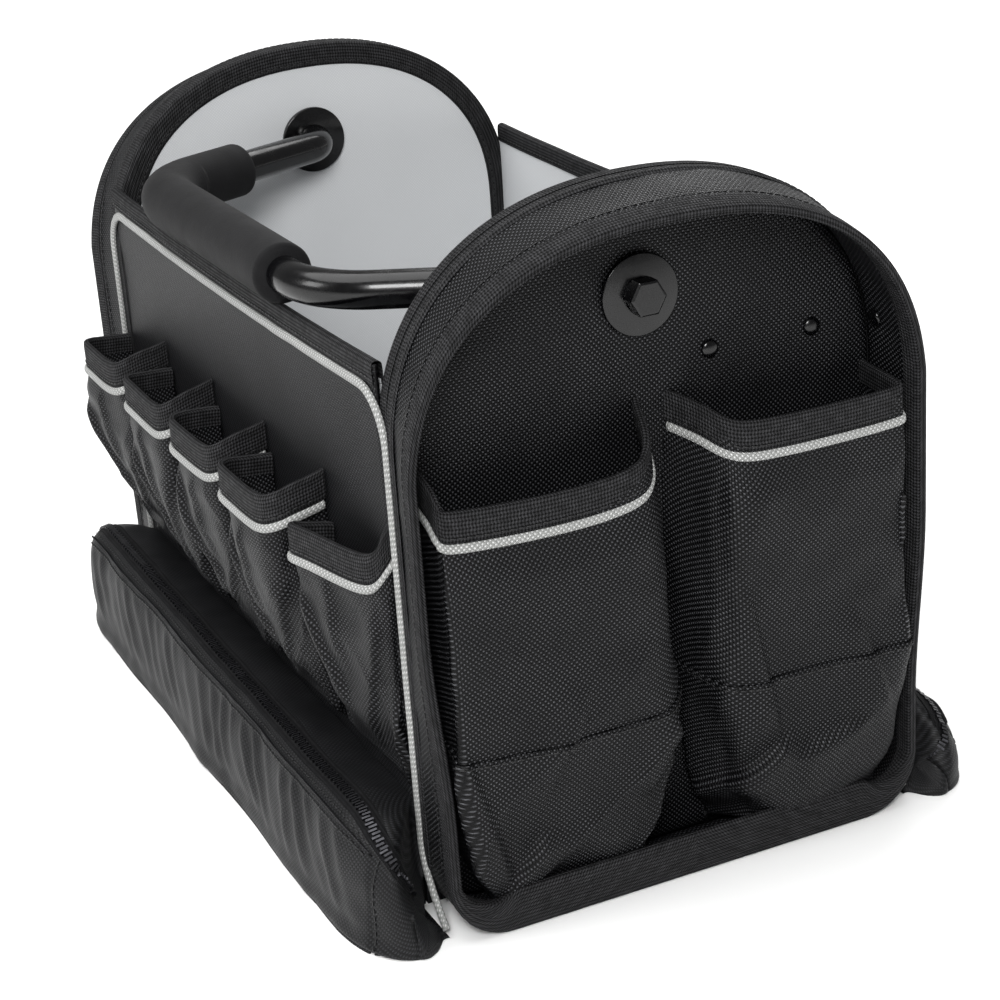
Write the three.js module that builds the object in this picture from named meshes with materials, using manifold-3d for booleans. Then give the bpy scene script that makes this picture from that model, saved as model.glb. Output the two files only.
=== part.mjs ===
// Open top tool tote, in millimetres, +Z up.
// X runs along the bag, Y across it, and the origin is the middle of its underside.
import * as THREE from "three";
import { mergeVertices } from "three/addons/utils/BufferGeometryUtils.js";
import Module from "manifold-3d";

const wasm = await Module();
wasm.setup();

// Driving sizes of the bag
const bodyLength = 426; // between the outer faces of the end panels
const bodyWidth = 260; // over the outer faces of the side walls
const gap = 0.3; // between pieces that touch
const overcut = 4; // how far a cutter passes beyond what it cuts

// End arch
const archSpring = 236; // where the upright edges begin to curve in
const archTop = 348;
const archPower = 2.24; // squareness of the arch
const cornerRadius = 30; // lower corners of an end
const panelThick = 9; // padded board with cloth on both faces
const archBinding = 12; // width of the binding round the lining
const liningThick = 1.2;
const liningSink = 0.3; // lining face below the binding

// Hood round each end
const hoodDepth = 36;
const hoodThick = 3.5;
const hoodDroop = 11; // how far the lip hangs at the top of the arch
const hoodReach = 6; // how much deeper the hood is at the top
const hoodFlare = 6; // how far its lip leans out at the sides
const lipDeep = 12; // hood binding, along the bag
const lipThick = 5;
const footLipDeep = 5; // the same binding along the ground
const footLipTall = 22;

// Floor and side walls
const floorThick = 14;
const wallHeight = 281;
const wallSag = 4; // at the middle of its top edge
const wallThick = 3;
const wallRimTall = 10; // binding along the top of a side wall
const wallRimProud = 0.8;

// Pipings
const pipingWide = 5;
const pipingProud = 2.4;
const pipingTop = 268; // middle of the piping along a side wall, at its ends
const pipingBend = 26; // corner where it turns down
const pipingSweepHeight = 44; // below this it runs forward along the hood
const pipingSweepReach = 28;
const pipingFoot = 4;

// Zipped base compartments
const baseReach = 45; // out from the side wall
const baseHeight = 66;
const basePassesEnd = 35; // how far it goes on beyond an end panel
const baseSkin = 2.5;
const zipHalfLength = 178;
const zipWide = 6;
const zipThick = 2;
const zipOut = 28; // middle of the zip, out from the side wall
const basePipingReach = 0.8; // share of the compartment's length
const basePipingTall = 3;
const basePipingProud = 1.6;

// Side pockets
const sidePocketCount = 5;
const sidePocketDepth = 31;
const sidePocketFoot = 69;
const sidePocketMouth = 193; // middle of the mouth
const sideMouthDip = 3; // how much lower it starts
const sideMouthRise = 12; // how much higher it ends, where it is sewn to its neighbour
const firstPocketDip = 6; // the first pocket's mouth is lower
const firstStartDip = 14;
const sidePocketValley = 5.4; // between neighbours

// End pockets
const endPocketDepth = 35.5;
const endPocketFoot = 6;
const endPocketMouth = 218;
const endMouthRise = 24; // the mouth's corner beside the other pocket
const endMouthSideRise = 20; // its corner beside the hood
const fullPocketRise = 11; // the second pocket is the taller one
const fullPocketSideRise = 16;
const endPocketSplit = 4; // where the two pockets meet on the panel
const leftPocketInset = 14; // how far short of the split their fronts end
const rightPocketInset = 20;
const leftPocketSplay = 7; // and how far they spread back towards it
const rightPocketSplay = 13;

// Cloth of the pockets
const pocketCloth = 2.2;
const pocketRim = 15; // width of the binding round a mouth
const rimProud = 0.9;
const pocketPiping = 4.2;

// Hardware
const axisHeight = 291;
const washerRadius = 20;
const washerThick = 3;
const boltRadius = 5;
const boltHeadFlats = 16.5;
const boltHeadTall = 7;
const boltFit = 0.4; // radial room round the bolt
const boltInTube = 8;
const rivetRadius = 4.5;
const rivetTall = 1.8;
const rivetHeight = 257.5;
const rivetPlaces = [94, 37]; // in from the side of the near panel
const sideRivetOut = 9; // out from the panel, on the hood

// Handle
const tubeRadius = 9.5;
const armInset = 27; // from an end panel's outer face in to an arm's root
const armReach = 126; // from the bolts to the middle of the grip
const armLean = 27; // degrees that an arm leans in
const rootBend = 22; // bends of the tube, at its centre line
const gripBend = 48;
const gripRadius = 15.5;
const gripArmStart = 66; // out from the bolts, on the far arm
const gripEnd = 84; // along the bag, short of the near bend

const halfLength = bodyLength / 2;
const halfWidth = bodyWidth / 2;
const panelInner = halfLength - panelThick;
const baseHalfLength = halfLength + basePassesEnd;
const armHalfSpan = halfLength - armInset;

const looks = {
  cloth: { color: 0x1b1b1d, roughness: 0.85, metalness: 0 },
  binding: { color: 0x141416, roughness: 0.8, metalness: 0 },
  piping: { color: 0xc9cac8, roughness: 0.6, metalness: 0 },
  lining: { color: 0xb9babb, roughness: 0.7, metalness: 0 },
  steel: { color: 0x0c0c0e, roughness: 0.25, metalness: 0.6 },
  foam: { color: 0x18181a, roughness: 0.95, metalness: 0 },
  zip: { color: 0x2a2a2c, roughness: 0.4, metalness: 0.5 },
};

// Turning shapes into solids

function faceOutwards(geometry) {
  const at = geometry.getAttribute("position");
  const index = geometry.getIndex().array;
  const [a, b, c] = [new THREE.Vector3(), new THREE.Vector3(), new THREE.Vector3()];
  let volume = 0;
  for (let i = 0; i < index.length; i += 3) {
    a.fromBufferAttribute(at, index[i]);
    b.fromBufferAttribute(at, index[i + 1]);
    c.fromBufferAttribute(at, index[i + 2]);
    volume += a.dot(b.cross(c));
  }
  if (volume < 0) {
    for (let i = 0; i < index.length; i += 3) {
      [index[i], index[i + 1]] = [index[i + 1], index[i]];
    }
  }
  return geometry;
}

function mergedShape(geometry) {
  const bare = new THREE.BufferGeometry();
  bare.setAttribute("position", geometry.getAttribute("position"));
  bare.setIndex(geometry.getIndex());
  return faceOutwards(mergeVertices(bare, 1e-4));
}

function toSolid(geometry) {
  const merged = mergedShape(geometry);
  return new wasm.Manifold(new wasm.Mesh({
    numProp: 3,
    vertProperties: new Float32Array(merged.getAttribute("position").array),
    triVerts: new Uint32Array(merged.getIndex().array),
  }));
}

function fromSolid(solid) {
  const mesh = solid.getMesh();
  const geometry = new THREE.BufferGeometry();
  geometry.setAttribute("position", new THREE.BufferAttribute(mesh.vertProperties, 3));
  geometry.setIndex(new THREE.BufferAttribute(mesh.triVerts, 1));
  return geometry;
}

function cut(geometry, ...cutters) {
  return fromSolid(cutters.reduce((solid, cutter) => solid.subtract(toSolid(cutter)), toSolid(geometry)));
}

function join(...geometries) {
  return fromSolid(geometries.map(toSolid).reduce((solid, next) => solid.add(next)));
}

// Two axes that a ring is seen along, for closing it
function flatten(ring) {
  const normal = new THREE.Vector3();
  ring.forEach((point, i) => {
    normal.add(new THREE.Vector3().crossVectors(point, ring[(i + 1) % ring.length]));
  });
  const size = { x: Math.abs(normal.x), y: Math.abs(normal.y), z: Math.abs(normal.z) };
  if (size.x >= size.y && size.x >= size.z) return ring.map((p) => new THREE.Vector2(p.y, p.z));
  if (size.y >= size.z) return ring.map((p) => new THREE.Vector2(p.z, p.x));
  return ring.map((p) => new THREE.Vector2(p.x, p.y));
}

// A closed skin through rings of points; with loop, the last ring meets the first
function loft(rings, loop = false) {
  const count = rings[0].length;
  const spans = loop ? rings.length : rings.length - 1;
  const index = [];
  for (let r = 0; r < spans; r += 1) {
    const next = (r + 1) % rings.length;
    for (let i = 0; i < count; i += 1) {
      const j = (i + 1) % count;
      index.push(r * count + i, next * count + i, next * count + j);
      index.push(r * count + i, next * count + j, r * count + j);
    }
  }
  if (!loop) {
    const last = rings.length - 1;
    index.push(...endTriangles(rings[0], false));
    index.push(...endTriangles(rings[last], true).map((i) => last * count + i));
  }
  const geometry = new THREE.BufferGeometry();
  const places = rings.flat().flatMap((p) => [p.x, p.y, p.z]);
  geometry.setAttribute("position", new THREE.Float32BufferAttribute(places, 3));
  geometry.setIndex(index);
  return faceOutwards(geometry);
}

// The triangles that close a ring, in the ring's own order or against it
function endTriangles(ring, against) {
  const flat = flatten(ring);
  const ringTurn = THREE.ShapeUtils.isClockWise(flat);
  return THREE.ShapeUtils.triangulateShape(flat, []).flatMap(([a, b, c]) => {
    const turn = THREE.ShapeUtils.isClockWise([flat[a], flat[b], flat[c]]);
    return (turn === ringTurn) === against ? [a, c, b] : [a, b, c];
  });
}

// A flat outline across the bag, given in Y and Z, made solid from one X to another
function plate(outline, fromX, toX, holes = []) {
  const shape = new THREE.Shape(outline.map((p) => new THREE.Vector2(p.y, p.z)));
  holes.forEach((hole) => shape.holes.push(new THREE.Path(hole.map((p) => new THREE.Vector2(p.y, p.z)))));
  const geometry = new THREE.ExtrudeGeometry(shape, { depth: toX - fromX, bevelEnabled: false });
  const basis = new THREE.Matrix4().makeBasis(
    new THREE.Vector3(0, 1, 0),
    new THREE.Vector3(0, 0, 1),
    new THREE.Vector3(1, 0, 0),
  );
  geometry.applyMatrix4(basis.setPosition(fromX, 0, 0));
  return indexed(geometry);
}

function indexed(geometry) {
  const bare = new THREE.BufferGeometry();
  bare.setAttribute("position", geometry.getAttribute("position"));
  if (geometry.getIndex()) bare.setIndex(geometry.getIndex());
  return mergeVertices(bare, 1e-4);
}

// A disc or ring about the X axis at the handle's height
function circle(radius, sides, centreY = 0, centreZ = axisHeight) {
  return Array.from({ length: sides }, (_, i) => {
    const angle = ((i + 0.5) / sides) * Math.PI * 2;
    return { y: centreY + radius * Math.cos(angle), z: centreZ + radius * Math.sin(angle) };
  });
}

// A point of a ring moved sideways so that each side of the ring moves by the same distance
function offsetRing(points, distance, closed = true) {
  return points.map((point, i) => {
    const before = points[(i - 1 + points.length) % points.length];
    const after = points[(i + 1) % points.length];
    const inward = new THREE.Vector2(point.a - before.a, point.b - before.b).normalize();
    const onward = new THREE.Vector2(after.a - point.a, after.b - point.b).normalize();
    if (!closed && i === 0) inward.copy(onward);
    if (!closed && i === points.length - 1) onward.copy(inward);
    const normal = new THREE.Vector2(inward.y + onward.y, -inward.x - onward.x).normalize();
    const miter = distance / Math.max(0.5, normal.dot(new THREE.Vector2(onward.y, -onward.x)));
    return { a: point.a + normal.x * miter, b: point.b + normal.y * miter };
  });
}

// How much of its flare the hood has on the way up a side
const sideFlare = [
  { up: 0.2, flare: 0 },
  { up: 0.45, flare: 0.8 },
  { up: 0.75, flare: 1 },
];

// The end's outline, once round from the foot, each place with its outward direction
function archStations(inset = 0) {
  const cornerSteps = 4;
  const archSteps = 9;
  const side = halfWidth - inset;
  const foot = inset;
  const radius = cornerRadius - inset;
  const rise = archTop - inset - archSpring;
  const half = [];
  for (let i = 0; i <= cornerSteps; i += 1) {
    const angle = (i / cornerSteps) * (Math.PI / 2);
    half.push({
      a: side - radius + radius * Math.sin(angle),
      b: foot + radius - radius * Math.cos(angle),
      foot: 1 - i / cornerSteps,
      crown: 0,
      flare: 0,
    });
  }
  sideFlare.forEach(({ up, flare }) => {
    const height = THREE.MathUtils.lerp(cornerRadius, archSpring, up);
    half.push({ a: side, b: height, foot: 0, crown: 0, flare });
  });
  for (let i = 0; i <= archSteps; i += 1) {
    const angle = (i / archSteps) * (Math.PI / 2);
    const up = Math.sin(angle) ** (2 / archPower);
    half.push({
      a: side * Math.cos(angle) ** (2 / archPower),
      b: archSpring + rise * up,
      foot: 0,
      crown: up * up,
      flare: (1 - up) ** 2,
    });
  }
  const other = half.slice(0, -1).reverse().map((p) => ({ ...p, a: -p.a }));
  return half.concat(other);
}

// Half the arch's width at a height above the spring
function archAcross(height) {
  const up = (height - archSpring) / (archTop - archSpring);
  return halfWidth * (1 - up ** archPower) ** (1 / archPower);
}

function outline(inset = 0) {
  return archStations(inset).map((p) => ({ y: p.a, z: p.b }));
}

// Rings of a hood or its binding: section() gives how far out and how far in each corner lies
function hoodRings(section) {
  const stations = archStations();
  const away = offsetRing(stations, 1);
  return stations.map((station, i) => {
    const out = { a: away[i].a - station.a, b: away[i].b - station.b };
    return section(station).map(({ x, n }) => {
      return new THREE.Vector3(x, station.a + out.a * n, station.b + out.b * n);
    });
  });
}

function hoodFront(station) {
  return halfLength + hoodDepth + hoodReach * station.crown;
}

function lipStart(station) {
  return hoodFront(station) - THREE.MathUtils.lerp(lipDeep, footLipDeep, station.foot);
}

// How far the hood lies inside the outline at a place along the bag
function droopAt(station, x) {
  const seam = halfLength + pipingWide;
  const share = Math.max(0, x - seam) / (hoodFront(station) - seam);
  return (hoodDroop * station.crown - hoodFlare * station.flare) * share;
}

function hood() {
  return loft(hoodRings((station) => {
    const back = halfLength + gap;
    const seam = halfLength + pipingWide;
    const front = lipStart(station);
    const droop = droopAt(station, front);
    return [
      { x: back, n: 0 },
      { x: seam, n: 0 },
      { x: front, n: -droop },
      { x: front, n: -droop - hoodThick },
      { x: seam, n: -hoodThick },
      { x: back, n: -hoodThick },
    ];
  }), true);
}

function hoodBinding() {
  return loft(hoodRings((station) => {
    const back = lipStart(station) + gap;
    const front = hoodFront(station);
    const tall = THREE.MathUtils.lerp(lipThick, footLipTall, station.foot);
    return [
      { x: back, n: -droopAt(station, back) },
      { x: front, n: -droopAt(station, front) },
      { x: front, n: -droopAt(station, front) - tall },
      { x: back, n: -droopAt(station, back) - tall },
    ];
  }), true);
}

function endPanel() {
  const recessEnd = panelInner + liningSink + liningThick + gap;
  const recess = plate(outline(archBinding), panelInner - overcut, recessEnd);
  const boltHole = plate(circle(boltRadius + boltFit, 12), panelInner - overcut, halfLength + overcut);
  return cut(plate(outline(), panelInner, halfLength), recess, boltHole);
}

function liningPanel() {
  const face = panelInner + liningSink;
  return plate(outline(archBinding + gap), face, face + liningThick, [circle(boltRadius + boltFit, 12)]);
}

// The top of a side wall sags between the ends
function sagAt(x) {
  return wallSag * (1 - (x / halfLength) ** 2);
}

function sideWall() {
  const inner = halfWidth - wallThick;
  const end = panelInner - gap;
  const steps = 8;
  return loft(Array.from({ length: steps + 1 }, (_, i) => {
    const x = THREE.MathUtils.lerp(-end, end, i / steps);
    const top = wallHeight - sagAt(x);
    const rimFoot = top - wallRimTall;
    return [
      [halfWidth, 0],
      [inner, 0],
      [inner, rimFoot],
      [inner - wallRimProud, rimFoot + wallRimProud],
      [inner - wallRimProud, top],
      [halfWidth + wallRimProud, top],
      [halfWidth + wallRimProud, rimFoot + wallRimProud],
      [halfWidth, rimFoot],
    ].map(([across, z]) => new THREE.Vector3(x, -across, z));
  }));
}

function floorBoard() {
  const wide = 2 * (halfWidth - wallThick - gap);
  const board = new THREE.BoxGeometry(2 * (panelInner - gap), wide, floorThick);
  return indexed(board.translate(0, 0, floorThick / 2));
}

// The piping beside a side wall, drawn in X and Z from the near foot round to the far foot
function sidePipingPath() {
  const sweepSteps = 5;
  const bendSteps = 4;
  const bendStart = halfLength - pipingBend;
  const half = [];
  for (let i = 0; i <= sweepSteps; i += 1) {
    const share = i / sweepSteps;
    half.push({
      a: halfLength + pipingSweepReach * (1 - share) ** 2,
      b: THREE.MathUtils.lerp(pipingFoot, pipingSweepHeight, share),
    });
  }
  for (let i = 0; i <= bendSteps; i += 1) {
    const angle = (i / bendSteps) * (Math.PI / 2);
    half.push({
      a: halfLength - pipingBend * (1 - Math.cos(angle)),
      b: pipingTop - sagAt(bendStart) - pipingBend * (1 - Math.sin(angle)),
    });
  }
  for (let i = 1; i < bendSteps; i += 1) {
    const a = bendStart * (1 - i / bendSteps);
    half.push({ a, b: pipingTop - sagAt(a) });
  }
  return half.concat(half.slice().reverse().map((p) => ({ a: -p.a, b: p.b })));
}

function sidePiping() {
  const path = sidePipingPath();
  const outer = offsetRing(path, pipingWide / 2, false);
  const inner = offsetRing(path, -pipingWide / 2, false);
  const back = -halfWidth - gap;
  const face = back - pipingProud;
  return loft(path.map((_, i) => [
    new THREE.Vector3(inner[i].a, back, inner[i].b),
    new THREE.Vector3(outer[i].a, back, outer[i].b),
    new THREE.Vector3(outer[i].a, face, outer[i].b),
    new THREE.Vector3(inner[i].a, face, inner[i].b),
  ]));
}

// Base compartments: their sections as shares of reach and height, once round.
// The left one is full, and the right one has slumped.
const fullSection = [
  { out: 0, up: 0 },
  { out: 0.94, up: 0 },
  { out: 1.0, up: 0.2 },
  { out: 0.99, up: 0.55 },
  { out: 0.93, up: 0.82 },
  { out: 0.8, up: 0.96 },
  { out: 0.46, up: 1.0 },
  { out: 0, up: 0.93 },
];

const slackSection = [
  { out: 0, up: 0 },
  { out: 0.92, up: 0 },
  { out: 0.98, up: 0.12 },
  { out: 0.96, up: 0.3 },
  { out: 0.88, up: 0.43 },
  { out: 0.77, up: 0.53 },
  { out: 0.42, up: 0.74 },
  { out: 0, up: 0.88 },
];

// How a section changes along half of the bag
const baseRows = [
  { along: 0, out: 1.0, up: 1.0, behind: 0 },
  { along: 0.3, out: 0.97, up: 0.99, behind: 0 },
  { along: 0.55, out: 1.0, up: 1.0, behind: 0 },
  { along: 0.76, out: 0.98, up: 1.0, behind: 0 },
  { along: 0.87, out: 0.95, up: 0.95, behind: 1 },
  { along: 0.94, out: 0.86, up: 0.85, behind: 1 },
  { along: 0.985, out: 0.7, up: 0.68, behind: 1 },
  { along: 1, out: 0.48, up: 0.48, behind: 1 },
];

function baseRings(shape, inset) {
  const rows = baseRows.slice(1).reverse().map((row) => ({ ...row, along: -row.along })).concat(baseRows);
  const wallSide = -halfWidth - gap;
  return rows.map((row) => {
    const section = shape.map((p) => ({
      a: baseReach * row.out * p.out,
      b: baseHeight * row.up * p.up,
    }));
    const moved = offsetRing(section, -inset);
    const x = row.along * (baseHalfLength - inset);
    const back = inset > 0 ? (pipingProud + gap) * row.behind : 0;
    return moved.map((p, i) => {
      const atWall = shape[i].out === 0;
      return new THREE.Vector3(x, wallSide - p.a - (atWall ? back : 0), p.b);
    });
  });
}

// The zip lies on the flat run before a section's last corner
function zipTop(shape) {
  const share = zipOut / baseReach;
  const [outer, inner] = [shape[shape.length - 3], shape[shape.length - 2]];
  const along = (share - inner.out) / (outer.out - inner.out);
  return baseHeight * THREE.MathUtils.lerp(inner.up, outer.up, along);
}

// A straight bar along the zip, turned to lie on the section
function zipBar(shape, grow, below, above, length) {
  const [outer, inner] = [shape[shape.length - 3], shape[shape.length - 2]];
  const slope = Math.atan2((inner.up - outer.up) * baseHeight, (outer.out - inner.out) * baseReach);
  const bar = new THREE.BoxGeometry(2 * length, zipWide + 2 * grow, below + above);
  bar.translate(0, 0, (above - below) / 2).rotateX(slope);
  return indexed(bar.translate(0, -halfWidth - gap - zipOut, zipTop(shape)));
}

function baseCompartment(shape) {
  const slot = zipBar(shape, gap, baseSkin * 2, overcut, zipHalfLength + gap);
  const relief = offsetRing(sidePipingPath(), -pipingWide / 2 - gap, false);
  const edge = relief.filter((p) => p.a > 0 && p.b < baseHeight + overcut);
  const end = Math.max(baseHalfLength, edge[0].a) + overcut;
  const cutters = [1, -1].map((side) => {
    const corner = new THREE.Shape([
      new THREE.Vector2(side * end, -overcut),
      new THREE.Vector2(side * edge[0].a, -overcut),
      ...edge.map((p) => new THREE.Vector2(side * p.a, p.b)),
      new THREE.Vector2(side * edge[edge.length - 1].a, baseHeight + overcut),
      new THREE.Vector2(side * end, baseHeight + overcut),
    ]);
    const depth = overcut + pipingProud + 2 * gap;
    const solid = new THREE.ExtrudeGeometry(corner, { depth, bevelEnabled: false });
    return indexed(solid.rotateX(Math.PI / 2).translate(0, -halfWidth + overcut, 0));
  });
  return cut(loft(baseRings(shape, 0)), loft(baseRings(shape, baseSkin)), slot, ...cutters);
}

function zip(shape) {
  return zipBar(shape, 0, zipThick * 0.75, zipThick * 0.25, zipHalfLength);
}

function basePiping(shape) {
  const reach = basePipingReach * baseHalfLength;
  const rings = baseRings(shape, 0).filter((ring) => Math.abs(ring[0].x) <= reach);
  return loft(rings.map((ring) => {
    const [low, high] = [ring[1], ring[2]];
    const at = (z, out) => {
      const y = THREE.MathUtils.lerp(low.y, high.y, z / high.z);
      return new THREE.Vector3(ring[0].x, y - gap - out, z);
    };
    const top = gap + basePipingTall;
    return [at(gap, 0), at(gap, basePipingProud), at(top, basePipingProud), at(top, 0)];
  }));
}

// Pockets are drawn against a wall: a runs along it and b away from it.

// The plan of a pocket at its mouth, as shares of its width and depth: round at both
// corners, or square at the corner where an end pocket meets the hood
const roundPlan = [
  { along: 0, out: 0 },
  { along: 0, out: 0.55 },
  { along: 0.03, out: 0.82 },
  { along: 0.12, out: 0.97 },
  { along: 0.33, out: 1.0 },
  { along: 0.67, out: 1.0 },
  { along: 0.88, out: 0.97 },
  { along: 0.97, out: 0.82 },
  { along: 1, out: 0.55 },
  { along: 1, out: 0 },
];

const squarePlan = roundPlan.map((p, i) => [
  p,
  { along: 0, out: 0.7 },
  { along: 0.006, out: 0.95 },
  { along: 0.05, out: 0.99 },
][i] ?? p);

function mirrored(plan) {
  return plan.map((p) => ({ ...p, along: 1 - p.along })).reverse();
}

// How far up each level is, how deep it is there, and how much narrower at each side
const sideLevels = [
  { up: 0, out: 0.16, start: 0.05, end: 0.03 },
  { up: 0.07, out: 0.2, start: 0.05, end: 0.03 },
  { up: 0.3, out: 0.5, start: 0.03, end: 0.02 },
  { up: 0.62, out: 0.84, start: 0, end: 0 },
  { up: 0.83, out: 0.98, start: 0, end: 0 },
  { up: 1, out: 1.0, start: 0, end: 0 },
];

const endLevels = [
  { up: 0, out: 0.74, start: 0.24, end: 0.14 },
  { up: 0.035, out: 0.78, start: 0.2, end: 0.12 },
  { up: 0.15, out: 0.96, start: 0.09, end: 0.02 },
  { up: 0.4, out: 1.03, start: 0.01, end: -0.04 },
  { up: 0.7, out: 1.04, start: 0, end: -0.05 },
  { up: 1, out: 0.98, start: 0, end: 0 },
];

// A pocket says where it starts and ends on the wall, its depth and its mouth's three heights
function mouthHeight(pocket, share) {
  const edge = share < 0.5 ? pocket.mouthStart : pocket.mouthEnd;
  return pocket.mouthMiddle + (edge - pocket.mouthMiddle) * (1 - 2 * share) ** 2;
}

function levelAt(pocket, up) {
  const { levels } = pocket;
  const above = Math.max(1, levels.findIndex((level) => level.up >= Math.min(up, 1)));
  const [low, high] = [levels[above - 1], levels[above]];
  const t = (Math.min(up, 1) - low.up) / (high.up - low.up);
  const mix = (name) => THREE.MathUtils.lerp(low[name], high[name], t);
  return { out: mix("out"), start: mix("start"), end: mix("end") };
}

function pocketPlanAt(pocket, up, proud) {
  const level = levelAt(pocket, up);
  const width = pocket.end - pocket.start;
  const from = pocket.start + width * level.start;
  const to = pocket.end - width * level.end;
  const plan = pocket.plan.map((p) => {
    const splay = (1 - p.out) ** 2;
    const shift = p.along < 0.5 ? -pocket.splayStart * splay : pocket.splayEnd * splay;
    const lean = THREE.MathUtils.lerp(pocket.startDepth, pocket.endDepth, p.along);
    return {
      a: THREE.MathUtils.lerp(from, to, p.along) + shift,
      b: -pocket.depth * level.out * p.out * lean,
    };
  });
  const moved = offsetRing(plan, proud, false);
  return moved.map((p, i) => {
    const atWall = pocket.plan[i].out === 0;
    return { a: p.a, b: atWall ? 0 : p.b };
  });
}

function pocketHeight(pocket, up, i) {
  const share = i / (pocket.plan.length - 1);
  return THREE.MathUtils.lerp(pocket.foot, mouthHeight(pocket, share), up);
}

function pocketRing(pocket, up, proud, wallShift = 0) {
  return pocketPlanAt(pocket, up, proud).map((p, i) => {
    const shift = pocket.plan[i].out === 0 ? wallShift : 0;
    return new THREE.Vector3(p.a, -pocket.wall - gap + p.b + shift, pocketHeight(pocket, up, i));
  });
}

function rimShare(pocket) {
  return 1 - pocketRim / (pocket.mouthMiddle - pocket.foot);
}

function pocketBody(pocket) {
  const rim = rimShare(pocket);
  const ups = pocket.levels.map((level) => level.up).filter((up) => up < rim - 0.05);
  const rimStep = 0.008;
  const outerRings = ups.map((up) => pocketRing(pocket, up, 0));
  outerRings.push(pocketRing(pocket, rim, 0));
  outerRings.push(pocketRing(pocket, rim + rimStep, rimProud));
  outerRings.push(pocketRing(pocket, 1, rimProud));
  const innerUps = [...ups.slice(1), rim, 1, 1.2];
  const innerRings = innerUps.map((up) => pocketRing(pocket, up, -pocketCloth, overcut));
  return cut(loft(outerRings), loft(innerRings));
}

function pocketPipingBody(pocket) {
  const tall = pocketPiping / (pocket.mouthMiddle - pocket.foot);
  const top = rimShare(pocket) - gap / (pocket.mouthMiddle - pocket.foot);
  const corners = [
    pocketRing(pocket, top - tall, gap),
    pocketRing(pocket, top, gap),
    pocketRing(pocket, top, gap + pipingProud),
    pocketRing(pocket, top - tall, gap + pipingProud),
  ];
  const places = pocket.plan.map((_, i) => i).slice(1, -1);
  return loft(places.map((i) => corners.map((corner) => corner[i])));
}

// The first side pocket is drawn flat against the wall where it meets the end seam
function sidePockets() {
  const room = 2 * (halfLength - gap) - pipingWide;
  const pitch = room / sidePocketCount;
  return Array.from({ length: sidePocketCount }, (_, i) => {
    const middle = room / 2 - pitch * (i + 0.5);
    const first = i === 0;
    return {
      plan: roundPlan,
      wall: halfWidth,
      levels: sideLevels,
      depth: sidePocketDepth,
      startDepth: first ? 0.85 : 1,
      endDepth: first ? 0.3 : 1,
      start: middle - pitch / 2 + sidePocketValley / 2,
      end: middle + pitch / 2 - sidePocketValley / 2,
      splayStart: 0,
      splayEnd: 0,
      foot: sidePocketFoot,
      mouthMiddle: sidePocketMouth - (first ? firstPocketDip : 0),
      mouthStart: sidePocketMouth - (first ? firstStartDip : sideMouthDip),
      mouthEnd: sidePocketMouth + sideMouthRise,
    };
  });
}

function endPockets() {
  const side = halfWidth - hoodThick - pipingProud - 2 * gap;
  const shared = {
    wall: halfLength,
    depth: endPocketDepth,
    startDepth: 1,
    endDepth: 1,
    foot: endPocketFoot,
    mouthMiddle: endPocketMouth,
  };
  const left = {
    ...shared,
    plan: squarePlan,
    levels: endLevels,
    start: -side,
    end: endPocketSplit - leftPocketInset,
    splayStart: 0,
    splayEnd: leftPocketSplay,
    mouthStart: endPocketMouth + endMouthSideRise,
    mouthEnd: endPocketMouth + endMouthRise,
  };
  const right = {
    ...shared,
    plan: mirrored(squarePlan),
    levels: endLevels.map((level) => ({ ...level, start: level.end, end: level.start })),
    mouthMiddle: endPocketMouth + fullPocketRise,
    start: endPocketSplit + rightPocketInset,
    end: side,
    splayStart: rightPocketSplay,
    splayEnd: 0,
    mouthStart: endPocketMouth + endMouthRise,
    mouthEnd: endPocketMouth + fullPocketSideRise,
  };
  return [left, right];
}

// Bolt through each end, with a washer on both faces
function washer(fromX) {
  const sides = 20;
  return plate(circle(washerRadius, sides), fromX, fromX + washerThick, [circle(boltRadius + boltFit, 12)]);
}

function bolt() {
  const headBack = halfLength + gap + washerThick + gap;
  const shankEnd = stubEnd() - boltInTube;
  const head = plate(circle(boltHeadFlats / Math.sqrt(3), 6), headBack, headBack + boltHeadTall);
  return join(head, plate(circle(boltRadius, 12), shankEnd, headBack + boltHeadTall / 2));
}

function innerWasherFace() {
  return panelInner + liningSink - gap - washerThick;
}

function stubEnd() {
  return innerWasherFace() - gap;
}

function rivetDome() {
  const profile = [
    [0, 0],
    [rivetRadius, 0],
    [rivetRadius * 0.9, rivetTall * 0.6],
    [rivetRadius * 0.5, rivetTall],
    [0, rivetTall],
  ].map(([x, y]) => new THREE.Vector2(x, y));
  return indexed(new THREE.LatheGeometry(profile, 10));
}

// Handle: a flat U with leaning arms, drawn lying towards -Y with the bolts on its X axis
function armAcross(out) {
  return armHalfSpan - out * Math.tan(THREE.MathUtils.degToRad(armLean));
}

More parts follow.
